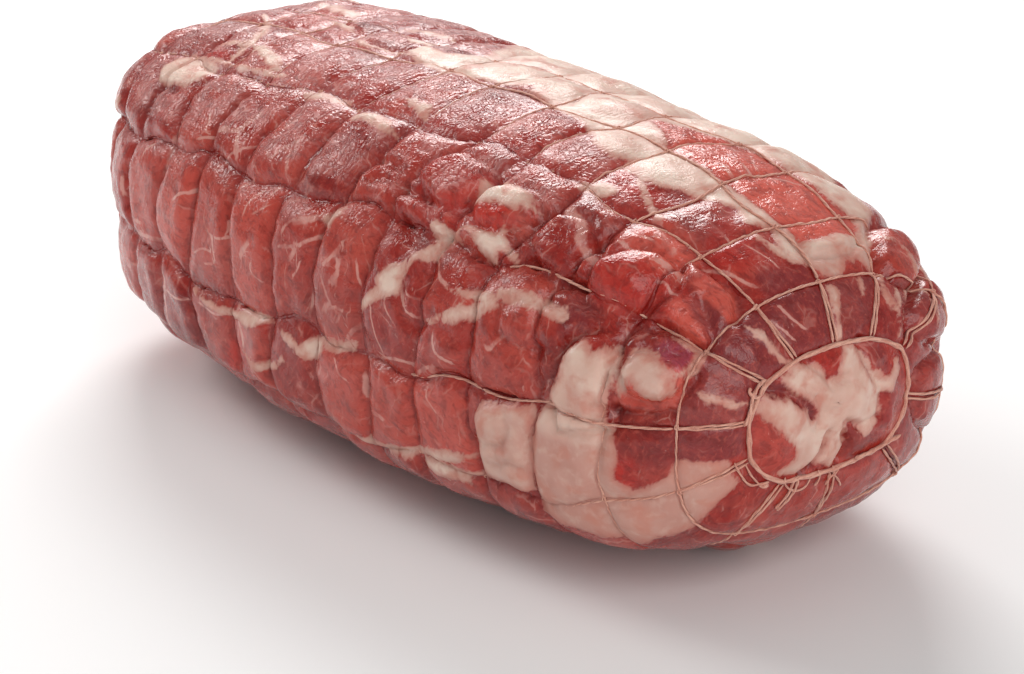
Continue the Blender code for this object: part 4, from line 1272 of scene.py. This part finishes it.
# The thin muscle over the cap and the covered end panels have little of it.
for tone, kept in (("salmon", 0.1), ("vivid", 0.3), ("mauve", 0.4)):
    kept = node(tree, "MapRange", (known[tone], 0.0, 1.0, 1.0, kept))
    marbling = node(tree, "Math", (marbling, kept), operation="MULTIPLY")
print(len(NETWORKS), "networks of marbling,", len(tree.nodes), "nodes so far")

# %% [markdown]
# A few thick veins give this roast its own face, and no texture would put them in their
# places. They are cut out of the stored distances and then laid into the marbling.

# %% Veins: they thin out here and there, and stain the lean beside them
across = node(tree, "Math", (known["vein_offset"],), operation="ABSOLUTE")
across = node(tree, "Math", (noises["fray"], 1.6, across), operation="MULTIPLY_ADD")
kept = node(tree, "MapRange", (noises["breaks_too"], 0.34, 0.56, 0.2, 1.0), **SMOOTH)
kept = node(tree, "Math", (kept, known["vein_near"]), operation="MULTIPLY")
vein = node(tree, "MapRange", (across, 1.3, 2.1, kept, 0.0), **SMOOTH)
vein_halo = node(tree, "MapRange", (across, 1.0, 4.0, kept, 0.0), **SMOOTH)
marbling = node(tree, "Math", (marbling, 0.55), operation="MULTIPLY")
marbling = node(tree, "Math", (marbling, vein), operation="MAXIMUM")
halo = node(tree, "Math", (halo, vein_halo), operation="MAXIMUM")
print(len(tree.nodes), "nodes with the veins")

# %% [markdown]
# A thin pale film of connective tissue covers the muscles on top. Where the net draws the
# meat together, it wrinkles into fine ridges. Noise alone gives spots, so a wave that is
# bent by noise makes the ridges. They make a bump, a painted sheen on their crests and
# painted shade in their valleys.

# %% Wrinkles of the film
RIDGE = 1.5 * MM  # from one wavy ridge to the next
WAVE_LENGTHS = 20 / math.tau  # the texture fits this many waves into one unit
waves = node(
    tree, "TexWave",
    {
        "Vector": shaken, "Scale": 1 / (RIDGE * WAVE_LENGTHS), "Distortion": 5.0,
        "Detail": 2.0, "Detail Scale": 0.5,
    },
    1, bands_direction="X",
)
folded = node(tree, "Math", (noises["ridges"], 0.5), operation="SUBTRACT")
folded = node(tree, "Math", (folded,), operation="ABSOLUTE")
folded = node(tree, "MapRange", (folded, 0.0, 0.16), **SMOOTH)
folded = node(tree, "Math", (waves, 0.45, folded), operation="MULTIPLY_ADD")
print("the film has about", round(10 * MM / RIDGE), "ridges to a centimetre")

# %% [markdown]
# The net cuts a fine crease into the meat, which is painted dark as shade and dented by the
# bump. A texture of lines couldn't follow the net, so the creases are cut out of the stored
# distances, and noise opens and closes them.

# %% Creases: a net line cuts in sharply, 1 mm wide, and opens here and there
# Each crease is a bump and a line of painted shade.
crease = 0.0
for line, breaks in (("string_line", "breaks"), ("hoop_line", "breaks_too")):
    off_line = node(tree, "Math", (known[line],), operation="ABSOLUTE")
    off_line = node(tree, "Math", (noises["fray"], 0.5, off_line), operation="MULTIPLY_ADD")
    sharp = node(tree, "MapRange", (noises[breaks], 0.35, 0.6, 1.0, 0.25), **SMOOTH)
    cut = node(tree, "MapRange", (off_line, 0.4, 0.85, sharp, 0.0), **SMOOTH)
    crease = node(tree, "Math", (crease, cut), operation="MAXIMUM")
print(len(tree.nodes), "nodes with the creases")

# %% [markdown]
# The colours are laid over one another as a painter glazes: first broad changes of the
# muscle, then its tones, mottling and fibres, then marbling, and last the film with its
# painted sheen and the painted shade of its valleys, the grooves and the creases. One ramp
# with many stops would be shorter, but no layer could then have a place of its own.

# %% Lean: its layers of colour, from the deepest to the topmost
RAMPS = {  # noise, where it starts, where it is full, and how strong it then is
    "light": ("broad", 0.45, 0.7, 1.0), "deep": ("broad_too", 0.5, 0.75, 0.9),
    "mottled": ("mottle", 0.5, 0.75, 0.3), "mottled_dark": ("mottle", 0.52, 0.3, 0.5),
    "bright_fibres": ("fibres", 0.5, 0.76, 0.42), "dark_fibres": ("fibres_too", 0.5, 0.24, 0.5),
    "film_and_sheen_patches": ("film_and_sheen", 0.38, 0.58, 1.0), "lobed": ("lobes", 0.4, 0.65, 1.0),
    "bloody": ("blood", 0.48, 0.72, 0.85), "creamy": ("mottle", 0.45, 0.75, 0.2),
}
ramps = {
    name: node(tree, "MapRange", (noises[source], start, full, 0.0, top), **SMOOTH)
    for name, (source, start, full, top) in RAMPS.items()
}
film_and_sheen = node(tree, "Math", (known["film_and_sheen"], ramps["film_and_sheen_patches"]), operation="MULTIPLY")
# A pale tint of the film with a painted sheen, strongest on the crests of its wrinkles.
film_tint_and_crest_sheen = node(tree, "MapRange", (folded, 0.3, 1.4, 0.25, 0.75), **SMOOTH)
film_tint_and_crest_sheen = node(tree, "Math", (film_tint_and_crest_sheen, film_and_sheen), operation="MULTIPLY")
# Painted shade in the valleys of the film's wrinkles.
painted_shade_in_valleys = node(tree, "MapRange", (folded, 0.45, 0.1, 0.0, film_and_sheen), **SMOOTH)
paler = node(tree, "Math", (known["shade"], 0.35), operation="MULTIPLY", use_clamp=True)
darker = node(tree, "Math", (known["shade"], -0.4), operation="MULTIPLY", use_clamp=True)
LEAN_LAYERS = (  # colour, amount, and its strength
    ("B2453A", ramps["light"], 1.0), ("7C1F1B", ramps["deep"], 1.0),
    ("BC5446", paler, 1.0), ("6E1816", darker, 1.0), ("BE261C", known["vivid"], 0.7),
    ("DC6252", known["salmon"], 0.85), ("762A2E", known["mauve"], 0.8),
    # 5E1214 is darker lean, and painted shade in the folds and under the roast.
    ("5E1214", known["dark_and_painted_shade"], 0.75), ("983E54", known["purple"], 0.8),
    ("B8463A", ramps["mottled"], 1.0), ("701A17", ramps["mottled_dark"], 1.0),
    ("C65C4C", ramps["bright_fibres"], 1.0), ("621412", ramps["dark_fibres"], 1.0),
    # DCA49E is the film's pale tint with a painted sheen on its crests.
    ("BC5044", halo, 0.3), ("DAA498", marbling, 0.65), ("DCA49E", film_tint_and_crest_sheen, 0.8),
    # Painted shade: in the valleys of the film, in the grooves and in the creases.
    ("8A1E1C", painted_shade_in_valleys, 0.4), ("861814", known["groove"], 0.6), ("7A0E0A", crease, 0.75),
)
print("lean has", len(LEAN_LAYERS), "layers of colour")

# %% Fat: cream, pinker where it is thin or blood has stained it, with faint lobes, and painted shade low on the front, in grooves and in creases
thin = node(tree, "MapRange", (frayed, EDGE + 2.4, EDGE, 0.0, 0.6), **SMOOTH)
FAT_LAYERS = (
    # BC7F72 is pinker fat, and painted shade low on the front.
    ("E0C4B4", ramps["lobed"], 1.0), ("BC7F72", known["blush_and_painted_shade"], 0.75),
    ("C4806F", ramps["bloody"], 1.0), ("E6D0C0", ramps["creamy"], 1.0), ("B86A5C", thin, 1.0),
    # Painted shade in the grooves and the creases.
    ("A45E50", known["groove"], 0.25), ("A25A4A", crease, 0.6),
)
print("fat has", len(FAT_LAYERS), "layers of colour")

# %% Lean and fat, each mixed layer by layer, and then fat over lean
tissues = []
for base_code, layers in (("9C251D", LEAN_LAYERS), ("D3AD9D", FAT_LAYERS)):
    colour = linear(base_code)
    for code, amount, strength in layers:
        amount = node(tree, "Math", (amount, strength), operation="MULTIPLY")
        mixed = {FACTOR: amount, UNDER: colour, OVER: linear(code)}
        colour = node(tree, "Mix", mixed, MIXED, data_type="RGBA")
    tissues.append(colour)
mixed = {FACTOR: fat, UNDER: tissues[0], OVER: tissues[1]}
pork_colour = node(tree, "Mix", mixed, MIXED, data_type="RGBA")
print(len(tree.nodes), "nodes with both tissues mixed")

# %% [markdown]
# Fresh meat shines because it is wet. Water has an IOR of 1.33 and meat about 1.38, so a
# Principled shader with an IOR of 1.38 and a thin clear coat gives its gloss. Where the
# film has dried or fat is waxy, it is duller. Light scatters a few millimetres deep, red
# the furthest, which softens small shadows.

# %% Gloss and depth of the pork
dry = node(tree, "Math", (fat, 0.2, 0.12), operation="MULTIPLY_ADD")
dry = node(tree, "Math", (film_and_sheen, 0.12, dry), operation="MULTIPLY_ADD")
roughness = node(tree, "Math", (noises["wet"], 0.24, dry), operation="MULTIPLY_ADD")
MEAT_IOR = 1.38
feed(tree, shader, {
    "Base Color": pork_colour, "Roughness": roughness, "IOR": MEAT_IOR,
    "Coat Weight": 0.12, "Coat Roughness": 0.08, "Coat IOR": MEAT_IOR,
    "Subsurface Weight": 0.12, "Subsurface Radius": (1.0, 0.3, 0.2),
    "Subsurface Scale": 2 * MM,
})
print("the pork's IOR is", MEAT_IOR)

# %% [markdown]
# Relief finer than the mesh is left to a bump: the wrinkles of the film, the fibres, fat
# that stands out a little, and the sharp foot of each crease. In the mesh it would take
# millions of triangles.

# %% Fine relief
filmed = node(tree, "Math", (known["film_and_sheen"], 0.8, 0.06), operation="MULTIPLY_ADD")
lean_height = node(tree, "Math", (folded, filmed), operation="MULTIPLY")
stringy = (noises["fibres"], 0.55, lean_height)
lean_height = node(tree, "Math", stringy, operation="MULTIPLY_ADD")
waxy = node(tree, "MapRange", (fat, 0.0, 1.0, 1.0, 0.35))
height = node(tree, "Math", (lean_height, waxy), operation="MULTIPLY")
height = node(tree, "Math", (fat, 0.5, height), operation="MULTIPLY_ADD")
height = node(tree, "Math", (crease, -1.1, height), operation="MULTIPLY_ADD")
relief = node(tree, "Bump", {"Height": height, "Strength": 1.0, "Distance": 0.26 * MM})
feed(tree, shader, {"Normal": relief, "Coat Normal": relief})
meat_mesh.materials.append(pork)
print("pork material:", len(tree.nodes), "nodes")

# %% [markdown]
# ## Yarn
#
# The net is knitted from twisted yarn about 0.8 mm thick, and each end is gathered on a
# thicker ring. A curve with a bevel makes a smooth tube, but twisted yarn has plies that
# wind round each other, and the eye knows it by them even at a distance. So each yarn is a
# grid from bmesh that is rolled round its path, with a cross-section of two or three lobes
# that turns as it goes. The path lies on the finished meat: a ray is shot at the meat for
# every step, and the yarn is laid where it hits.

# %% The path of a yarn on the meat
RAY_FROM, RAY_REACH = 12 * MM, 30 * MM  # over the log, and from there inwards
meat_tree = BVHTree.FromPolygons(
    [Vector(point) for point in points], [tuple(face.vertices) for face in meat_mesh.polygons]
)


def laid(along, around, proud):
    """Points on the meat at places of the net, lifted by proud, and their normals."""
    along, around = np.broadcast_arrays(np.asarray(along, float), np.asarray(around, float))
    where = slipped(along, around)
    bases, normals = net_point(*where), net_normal(*where)
    places = []
    for start, normal in zip(bases, normals):
        hit = meat_tree.ray_cast(Vector(start + normal * RAY_FROM), Vector(-normal), RAY_REACH)
        places.append(start if hit[0] is None else np.array(hit[0]))
    places = np.array(places) + normals * np.broadcast_to(proud, along.shape)[:, None]
    return places, normals


def softened(path, times, closed):
    """The path with its corners rounded, as a taut yarn rounds them."""
    for _ in range(times):
        before, after = np.roll(path, 1, axis=0), np.roll(path, -1, axis=0)
        if not closed:
            before[0], after[-1] = path[0], path[-1]
        path = path * 0.5 + (before + after) * 0.25
    return path


crossing = laid([5], [1], 0.0)[0][0]
print("on the meat, hoop 5 and string 1 cross at", (crossing / MM).round(1), "mm")

# %% Rolling a grid round a path
SIDES = 8
PLY_DEPTH = 0.28  # of the radius, from the crown of a ply to the groove beside it
SLUB, SLUB_LENGTH = 0.35, 2.2 * MM  # spun yarn is thicker here and thinner there
POINT = 0.02  # thickness of an open end, as a share


def roll_yarn(sheet, path, normals, radius, plies=2, pitch=3.6 * MM, closed=False, start=0.0):
    """Adds one twisted yarn to a bmesh. Open yarns run out in a point at both ends."""
    steps = len(path) if closed else len(path) - 1
    ahead = np.roll(path, -1, axis=0) - np.roll(path, 1, axis=0)
    if not closed:
        ahead[0], ahead[-1] = path[1] - path[0], path[-1] - path[-2]
    ahead = unit(ahead)
    side = unit(np.cross(ahead, normals))
    slub = [1 + SLUB * noise.noise(Vector(place) / SLUB_LENGTH) for place in path]
    up = np.cross(side, ahead)
    lengths = np.linalg.norm(np.diff(path, axis=0), axis=1)
    reached = np.concatenate([[0], np.cumsum(lengths)])
    turns = max(1, round(reached[-1] / pitch))
    layer = sheet.verts.layers.float.get("ply") or sheet.verts.layers.float.new("ply")
    grid = bmesh.ops.create_grid(sheet, x_segments=steps, y_segments=SIDES, size=1)
    for vert in grid["verts"]:
        step = round((vert.co.x + 1) / 2 * steps) % len(path)
        angle = round((vert.co.y + 1) / 2 * SIDES) % SIDES / SIDES * math.tau
        twist = start + turns * reached[step] / reached[-1] * math.tau / plies
        crown = math.cos(plies * (angle - twist)) * 0.5 + 0.5
        end = 1.0 if closed else min(1.0, POINT + min(step, len(path) - 1 - step) / 2)
        reach = radius * slub[step] * end * (1 - PLY_DEPTH + PLY_DEPTH * crown)
        offset = side[step] * math.cos(angle) + up[step] * math.sin(angle)
        vert.co = path[step] + offset * reach
        vert[layer] = crown
    bmesh.ops.remove_doubles(sheet, verts=grid["verts"], dist=0.02 * MM)


def finish_yarn(name, sheet, material):
    """Turns the rolled yarns into a piece of the net."""
    bmesh.ops.recalc_face_normals(sheet, faces=sheet.faces)
    mesh = mesh_of(name, sheet)
    mesh.shade_smooth()
    mesh.materials.append(material)
    piece = add_object(name, mesh)
    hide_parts("netting")
    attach(piece, "root")
    print(name, len(mesh.polygons) * 2, "triangles")
    return piece


# %% [markdown]
# ## The yarn's material
#
# Net yarn is undyed cotton and polyester, thin and hairy. Meat juice stains it to a
# pinkish tan, and painted shade darkens it between its plies. It has no gloss of its own,
# only a soft sheen from its hairs. Each vertex of the yarn knows how near it is to the
# crown of a ply, so the painted shade between the plies follows the twist without a texture.

# %% Stained cotton yarn
yarn, tree, shader = new_material("cotton_net_yarn_stained")
place = node(tree, "TexCoord", output="Object")
ply = node(tree, "Attribute", output="Fac", attribute_name="ply")
stains = node(tree, "TexNoise", {"Vector": place, "Scale": 1 / (6 * MM)})
# Real hairs are 0.02 mm thick, and these are as coarse as the render can show.
hairs = node(tree, "TexNoise", {"Vector": place, "Scale": 1 / (0.35 * MM)})
YARN_LAYERS = (  # colour, its source, where it starts and is full, and its strength
    ("DAA48F", stains, 0.4, 0.6, 1.0), ("BE7463", stains, 0.54, 0.72, 0.7),
    # A05A4C is painted shade between the plies.
    ("A05A4C", ply, 0.5, 0.05, 0.6), ("ECC4B2", hairs, 0.5, 0.75, 0.45),
)
cotton = linear("CC8C78")
for code, source, start, full, top in YARN_LAYERS:
    amount = node(tree, "MapRange", (source, start, full, 0.0, top), **SMOOTH)
    mixed = {FACTOR: amount, UNDER: cotton, OVER: linear(code)}
    cotton = node(tree, "Mix", mixed, MIXED, data_type="RGBA")
hairy = node(tree, "Bump", {"Height": hairs, "Strength": 0.6, "Distance": 0.15 * MM})
feed(tree, shader, {
    "Base Color": cotton, "Roughness": 0.75, "Normal": hairy,
    "Sheen Weight": 0.2, "Sheen Roughness": 0.5,
})
print("yarn material:", len(tree.nodes), "nodes")

# %% [markdown]
# ## Hoops and strings
#
# Fourteen hoops go round the girth and eleven strings along it. Where the pillows stand
# high the yarn is buried in the groove, and on top it is half sunk into the soft fat. So
# its height over the groove is read from the depth of the groove, and isn't the same all
# round. Towards the ring each string is a pair of yarns that spread as they reach it.

# %% Hoops
HOOP_RADIUS, STRING_RADIUS, RING_RADIUS = 0.38 * MM, 0.4 * MM, 0.72 * MM
HOOP_STEPS = 640
# Depth of a groove in mm, and height of the yarn's middle in it, in radii.
GROOVE_DEPTHS, YARN_HEIGHTS = (0.8, 2.0, 2.8, 3.8), (0.7, 0.3, -0.8, -2.4)
SUNK_IN_FAT, SWALLOWED = 0.3, 1.7  # radii


def proud_of(along, around, radius):
    """Height of a yarn's middle above the meat: less in deep grooves and at the back."""
    turn = unwound(np.asarray(around, float))
    depth = pillow_depth(np.asarray(along, float), turn) / MM
    height = np.interp(depth, GROOVE_DEPTHS, YARN_HEIGHTS)
    height = height + plateau(4.4, 5.2, 7.0, 7.8, turn)  # it is taut on the far side
    on_cap = plateau(1.8, 2.4, 4.6, 5.2, turn) * smooth_step(3.0, 5.0, along)
    height = height - SUNK_IN_FAT * on_cap
    near_side = plateau(-1.6, -1.0, 4.2, 5.0, turn) * (1 - 0.9 * smooth_step(1.6, 2.1, turn))
    swallowed = plateau(6.5, 9.0, 14.2, 15.2, along) * near_side
    return radius * (height - SWALLOWED * swallowed)


def hoop_path(hoop, radius):
    """Path of a hoop, and the meat's normals along it."""
    around = np.arange(HOOP_STEPS) / HOOP_STEPS * STRINGS
    path, normals = laid(hoop, around, proud_of(hoop, around, radius))
    return softened(path, 2, True), normals


for name, hoops in (("net_hoops_front", range(2, 9)), ("net_hoops_back", range(9, 16))):
    sheet = bmesh.new()
    for hoop in hoops:
        path, normals = hoop_path(hoop, HOOP_RADIUS)
        roll_yarn(sheet, path, normals, HOOP_RADIUS, closed=True, start=hoop)
    finish_yarn(name, sheet, yarn)

# %% Strings
STRING_STEPS_IN_CELL = 34
WAVER, WAVER_STEP = 0.02, 2.3  # height as a share of a cell, and turn of the wave per hoop


def string_path(string, first, last, radius, aside=0.0):
    """Path of a string from one hoop to another, aside by a share of a cell."""
    along = np.linspace(first, last, round((last - first) * STRING_STEPS_IN_CELL) + 1)
    around = string + WAVER * np.sin(along * WAVER_STEP + string) + aside * (2 - along)
    path, normals = laid(along, around, proud_of(along, around, radius))
    return softened(path, 2, False), normals


# Over a hollow between two lobes a taut string runs straight: string, from, to, and how
# far its ends stand off the meat, in mm.
BRIDGES = (
    (0, 2.1, 3.05, 0.6), (0, 3.05, 4.0, 0.8), (0, 4.0, 5.1, 0.8), (0, 5.1, 6.1, 0.6),
    (1, 3.1, 4.1, 0.5), (1, 4.1, 4.95, 0.4),
)
BRIDGE_ARCH = 0.6 * MM  # keeps a bridge off the meat in its middle


def bridged(path, normals, first, last):
    """Pulls the path straight from one step to another, where it sags between them."""
    share = np.linspace(0, 1, last - first + 1)[:, None]
    chord = path[first] * (1 - share) + path[last] * share
    part = path[first:last + 1]
    sag = np.sum((chord - part) * normals[first:last + 1], axis=1, keepdims=True)
    arch = BRIDGE_ARCH * np.sin(np.pi * share)
    part += normals[first:last + 1] * (np.maximum(sag, 0) + arch)


sheet = bmesh.new()
for string in range(STRINGS):
    path, normals = string_path(string, 2, 15, STRING_RADIUS)
    for bridge, start, end, stand_off in BRIDGES:
        if bridge == string:
            steps = [round((place - 2) * STRING_STEPS_IN_CELL) for place in (start, end)]
            for step in steps:
                path[step] += normals[step] * stand_off * MM
            bridged(path, normals, *steps)
    path = softened(path, 6, False)
    roll_yarn(sheet, path, normals, STRING_RADIUS, start=string)
finish_yarn("net_strings", sheet, yarn)

# %% [markdown]
# At both ends the strings run on to the ring, more loosely twisted. At the front each one
# is a pair of yarns that spread towards the ring. They are a piece of their own, because
# one string from ring to ring would have to change its number of yarns on the way.

# %% Gathers
LOOSE_TWIST, SPREAD = 5 * MM, 0.05  # of a cell to either side
sheet = bmesh.new()
for string in range(STRINGS):
    for aside in (-SPREAD, SPREAD):
        path, normals = string_path(string, 1, 2.04, STRING_RADIUS, aside)
        roll_yarn(sheet, path, normals, STRING_RADIUS, pitch=LOOSE_TWIST, start=string + aside)
    path, normals = string_path(string, 14.96, 16, STRING_RADIUS)
    roll_yarn(sheet, path, normals, STRING_RADIUS, pitch=LOOSE_TWIST, start=string)
finish_yarn("net_gathers", sheet, yarn)

# %% [markdown]
# Each end of the net is drawn together on a ring of thicker, three-ply yarn. A plain
# circle would be quick to make, but the strings pull a real ring into soft corners. So its
# path is a mean of two: one laid on the meat, and one straight from string to string.

# %% Rings
STRAIGHT = 0.45  # share of the straight path


def ring_path(hoop, radius, steps=560):
    """A ring is pulled into corners by its strings, and runs straight between them."""
    around = np.arange(steps) / steps * STRINGS
    share = around % 1
    corners = net_point(hoop, np.floor(around)), net_point(hoop, np.floor(around) + 1)
    chord = corners[0] * (1 - share[:, None]) + corners[1] * share[:, None]
    path, normals = laid(hoop, around, 0.3 * radius)
    off_end = np.sign(path[:, :1]) * (1, 0, 0)  # straight out of the end face
    normals = unit(normals + off_end)
    path = path * (1 - STRAIGHT) + (chord + normals * 0.5 * radius) * STRAIGHT
    return softened(path, 6, True), normals


sheet = bmesh.new()
for hoop in (1, LAST):
    path, normals = ring_path(hoop, RING_RADIUS)
    roll_yarn(sheet, path, normals, RING_RADIUS, plies=3, pitch=7 * MM, closed=True)
finish_yarn("net_rings", sheet, yarn)

# %% [markdown]
# Where a hoop and a string cross, the machine knots them: a finer thread is wound round
# both. A plain crossing would do at a distance, but the small lumps make a net a net.

# %% Knots
KNOT_RADIUS, KNOT_YARN, KNOT_STEPS = 0.56 * MM, 0.24 * MM, 12
KNOT_TURNS, KNOT_SLANT = (-0.3 * MM, 0.3 * MM), 0.4
sheet = bmesh.new()
turn = np.arange(KNOT_STEPS)[:, None] / KNOT_STEPS * math.tau
for hoop in range(2, 16):
    strings = np.arange(STRINGS, dtype=float)
    proud = proud_of(hoop, strings, STRING_RADIUS)
    centres, normals = laid(hoop, strings, proud)
    towards = laid(hoop + 0.05, strings, proud)[0] - centres
    for centre, normal, ahead in zip(centres, normals, towards):
        ahead = unit(ahead)
        side = np.cross(ahead, normal)
        for shift in KNOT_TURNS:
            path = centre + ahead * shift * (1 + KNOT_SLANT * np.sin(turn))
            path = path + KNOT_RADIUS * (side * np.cos(turn) + normal * np.sin(turn))
            roll_yarn(sheet, path, np.tile(ahead, (KNOT_STEPS, 1)), KNOT_YARN, closed=True)
finish_yarn("net_knots", sheet, yarn)

# %% [markdown]
# Loose ends hang at the front ring, where the net was cut and tied. Hair curves would be
# quick to scatter, but these few can be counted on the roast. So each one is a path in mm
# across the end face, laid onto the meat from the front.

# %% Loose ends: radius in mm, and path
LOOSE_ENDS = {
    "tail_loop_outer": (0.55, (-22, 69), (-25, 68), (-27, 66), (-27, 62), (-29, 58)),
    "tail_loop_inner": (0.5, (-22, 68), (-23, 65), (-26, 65), (-28, 67), (-27, 68)),
    "tie": (0.5, (-23, 41), (-22, 40), (-20, 40), (-22, 41)),
    "thread_outer": (0.32, (-31, 49), (-29, 45), (-26, 41), (-23, 41), (-20, 41)),
    "thread_inner": (0.3, (-28, 48), (-26, 44), (-22, 40)),
    "curl": (0.3, (-15, 41), (-15, 39), (-12, 36), (-9, 35), (-7, 36), (-6, 38)),
    "double_outer": (0.36, (-11, 40), (-12, 38), (-12, 35), (-14, 32), (-15, 31)),
    "double_inner": (0.36, (-10, 40), (-10, 37), (-11, 34), (-13, 31), (-14, 30)),
    "bit_long": (0.3, (1, 40), (2, 37), (5, 34), (6, 32)),
    "bit_crossed": (0.3, (4, 39), (3, 37), (1, 36), (0, 34)),
    "bit_short": (0.3, (-4, 40), (-2, 37), (-4, 35)),
    "ring_end": (0.6, (8, 40), (14, 40), (19, 41), (25, 42)),
}


def laid_on_face(path, proud):
    """Points on the meat's front end at places given in mm across it, and their normals."""
    places, normals = [], []
    for y, z in path:
        start = Vector((cad_box[1][0] + 20 * MM, y * MM + CENTRING[1], z * MM))
        hit, normal, _, _ = meat_tree.ray_cast(start, Vector((-1, 0, 0)), 80 * MM)
        places.append(np.array(hit) + np.array((proud, 0, 0)))
        normals.append(np.array(normal))
    return np.array(places), np.array(normals)


LOOSE_GAP, LOOSE_PITCH = 0.25 * MM, 3.0 * MM  # to the meat, and of one turn of the yarn
sheet = bmesh.new()
for radius, *path in LOOSE_ENDS.values():
    path, normals = laid_on_face(rounded(path), 0.9 * radius * MM + LOOSE_GAP)
    roll_yarn(sheet, softened(path, 2, False), normals, radius * MM, pitch=LOOSE_PITCH)
finish_yarn("net_loose_ends", sheet, yarn)

# %% [markdown]
# ## Floor, light and camera
#
# The roast stands on a plain pale floor in soft studio light. The key light is a softbox
# above and behind it, which puts the gloss on the tops of the pillows. A smaller one on
# the left draws the grooves of the side, and a large soft one on the right lifts the front
# end. A studio picture as a world would be quicker, but its light can't be placed. The
# camera was fitted to the crossings of the net: it looks down by 22 degrees through a long
# lens, with the front end on its right.

# %% The floor
FLOOR_HALF = 4  # metres, so that its edges are far out of sight
sheet = bmesh.new()
bmesh.ops.create_grid(sheet, x_segments=1, y_segments=1, size=FLOOR_HALF)
floor_mesh = mesh_of("floor", sheet)
floor_material, tree, shader = new_material("pale_floor")
feed(tree, shader, {"Base Color": linear("F4F4F4"), "Roughness": 0.9})
floor_mesh.materials.append(floor_material)
floor = add_object("floor", floor_mesh)
floor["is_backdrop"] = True
print("the floor is", 2 * FLOOR_HALF, "m wide")

# %% The lights
TARGET = Vector((7.633, 0.0, 32.273)) * MM + Vector(CENTRING)  # of lights and camera


def area_light(name, place, size, power, colour=(1, 1, 1)):
    """A soft square light that faces the roast."""
    lamp = bpy.data.lights.new(name, "AREA")
    lamp.size, lamp.energy, lamp.color = size, power, colour
    light = add_object(name, lamp)
    light.location = place
    light.rotation_euler = (TARGET - Vector(place)).to_track_quat("-Z", "Y").to_euler()
    print(name, "gives", power, "W")


area_light("softbox_behind", (-0.95, 0.65, 0.95), 0.7, 17.0, (1.0, 0.99, 0.98))
area_light("softbox_left", (-1.05, -0.5, 0.8), 0.45, 6.5, (1.0, 0.98, 0.96))
area_light("softbox_front", (1.4, -0.4, 0.9), 1.2, 14.0, (1.0, 0.99, 0.98))
world = bpy.data.worlds.new("studio")
world.use_nodes = True
background = world.node_tree.nodes["Background"]
feed(world.node_tree, background, {"Color": (1, 1, 1, 1), "Strength": 0.33})
bpy.context.scene.world = world
bpy.context.scene.view_settings.view_transform = "Standard"

# %% The camera
AZIMUTH, ELEVATION, DISTANCE = math.radians(53.057), math.radians(21.86), 856.0 * MM
FOCAL_PIXELS, IMAGE_WIDTH, SENSOR = 3000.0, 1024, 36.0
towards_camera = Vector((
    math.sin(AZIMUTH) * math.cos(ELEVATION),
    -math.cos(AZIMUTH) * math.cos(ELEVATION),
    math.sin(ELEVATION),
))
lens = bpy.data.cameras.new("camera")
lens.sensor_width, lens.lens = SENSOR, FOCAL_PIXELS / IMAGE_WIDTH * SENSOR
camera = add_object("camera", lens)
camera.location = TARGET + towards_camera * DISTANCE
camera.rotation_euler = towards_camera.to_track_quat("Z", "Y").to_euler()
bpy.context.scene.camera = camera
print("lens in mm:", round(lens.lens, 2))

# %% Size of the visual model against the CAD model
visual_box = [list(corner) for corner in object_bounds()]
for name, box in (("CAD", cad_box), ("visual", visual_box)):
    print(name, "box in mm:", [[round(value / MM, 1) for value in corner] for corner in box])
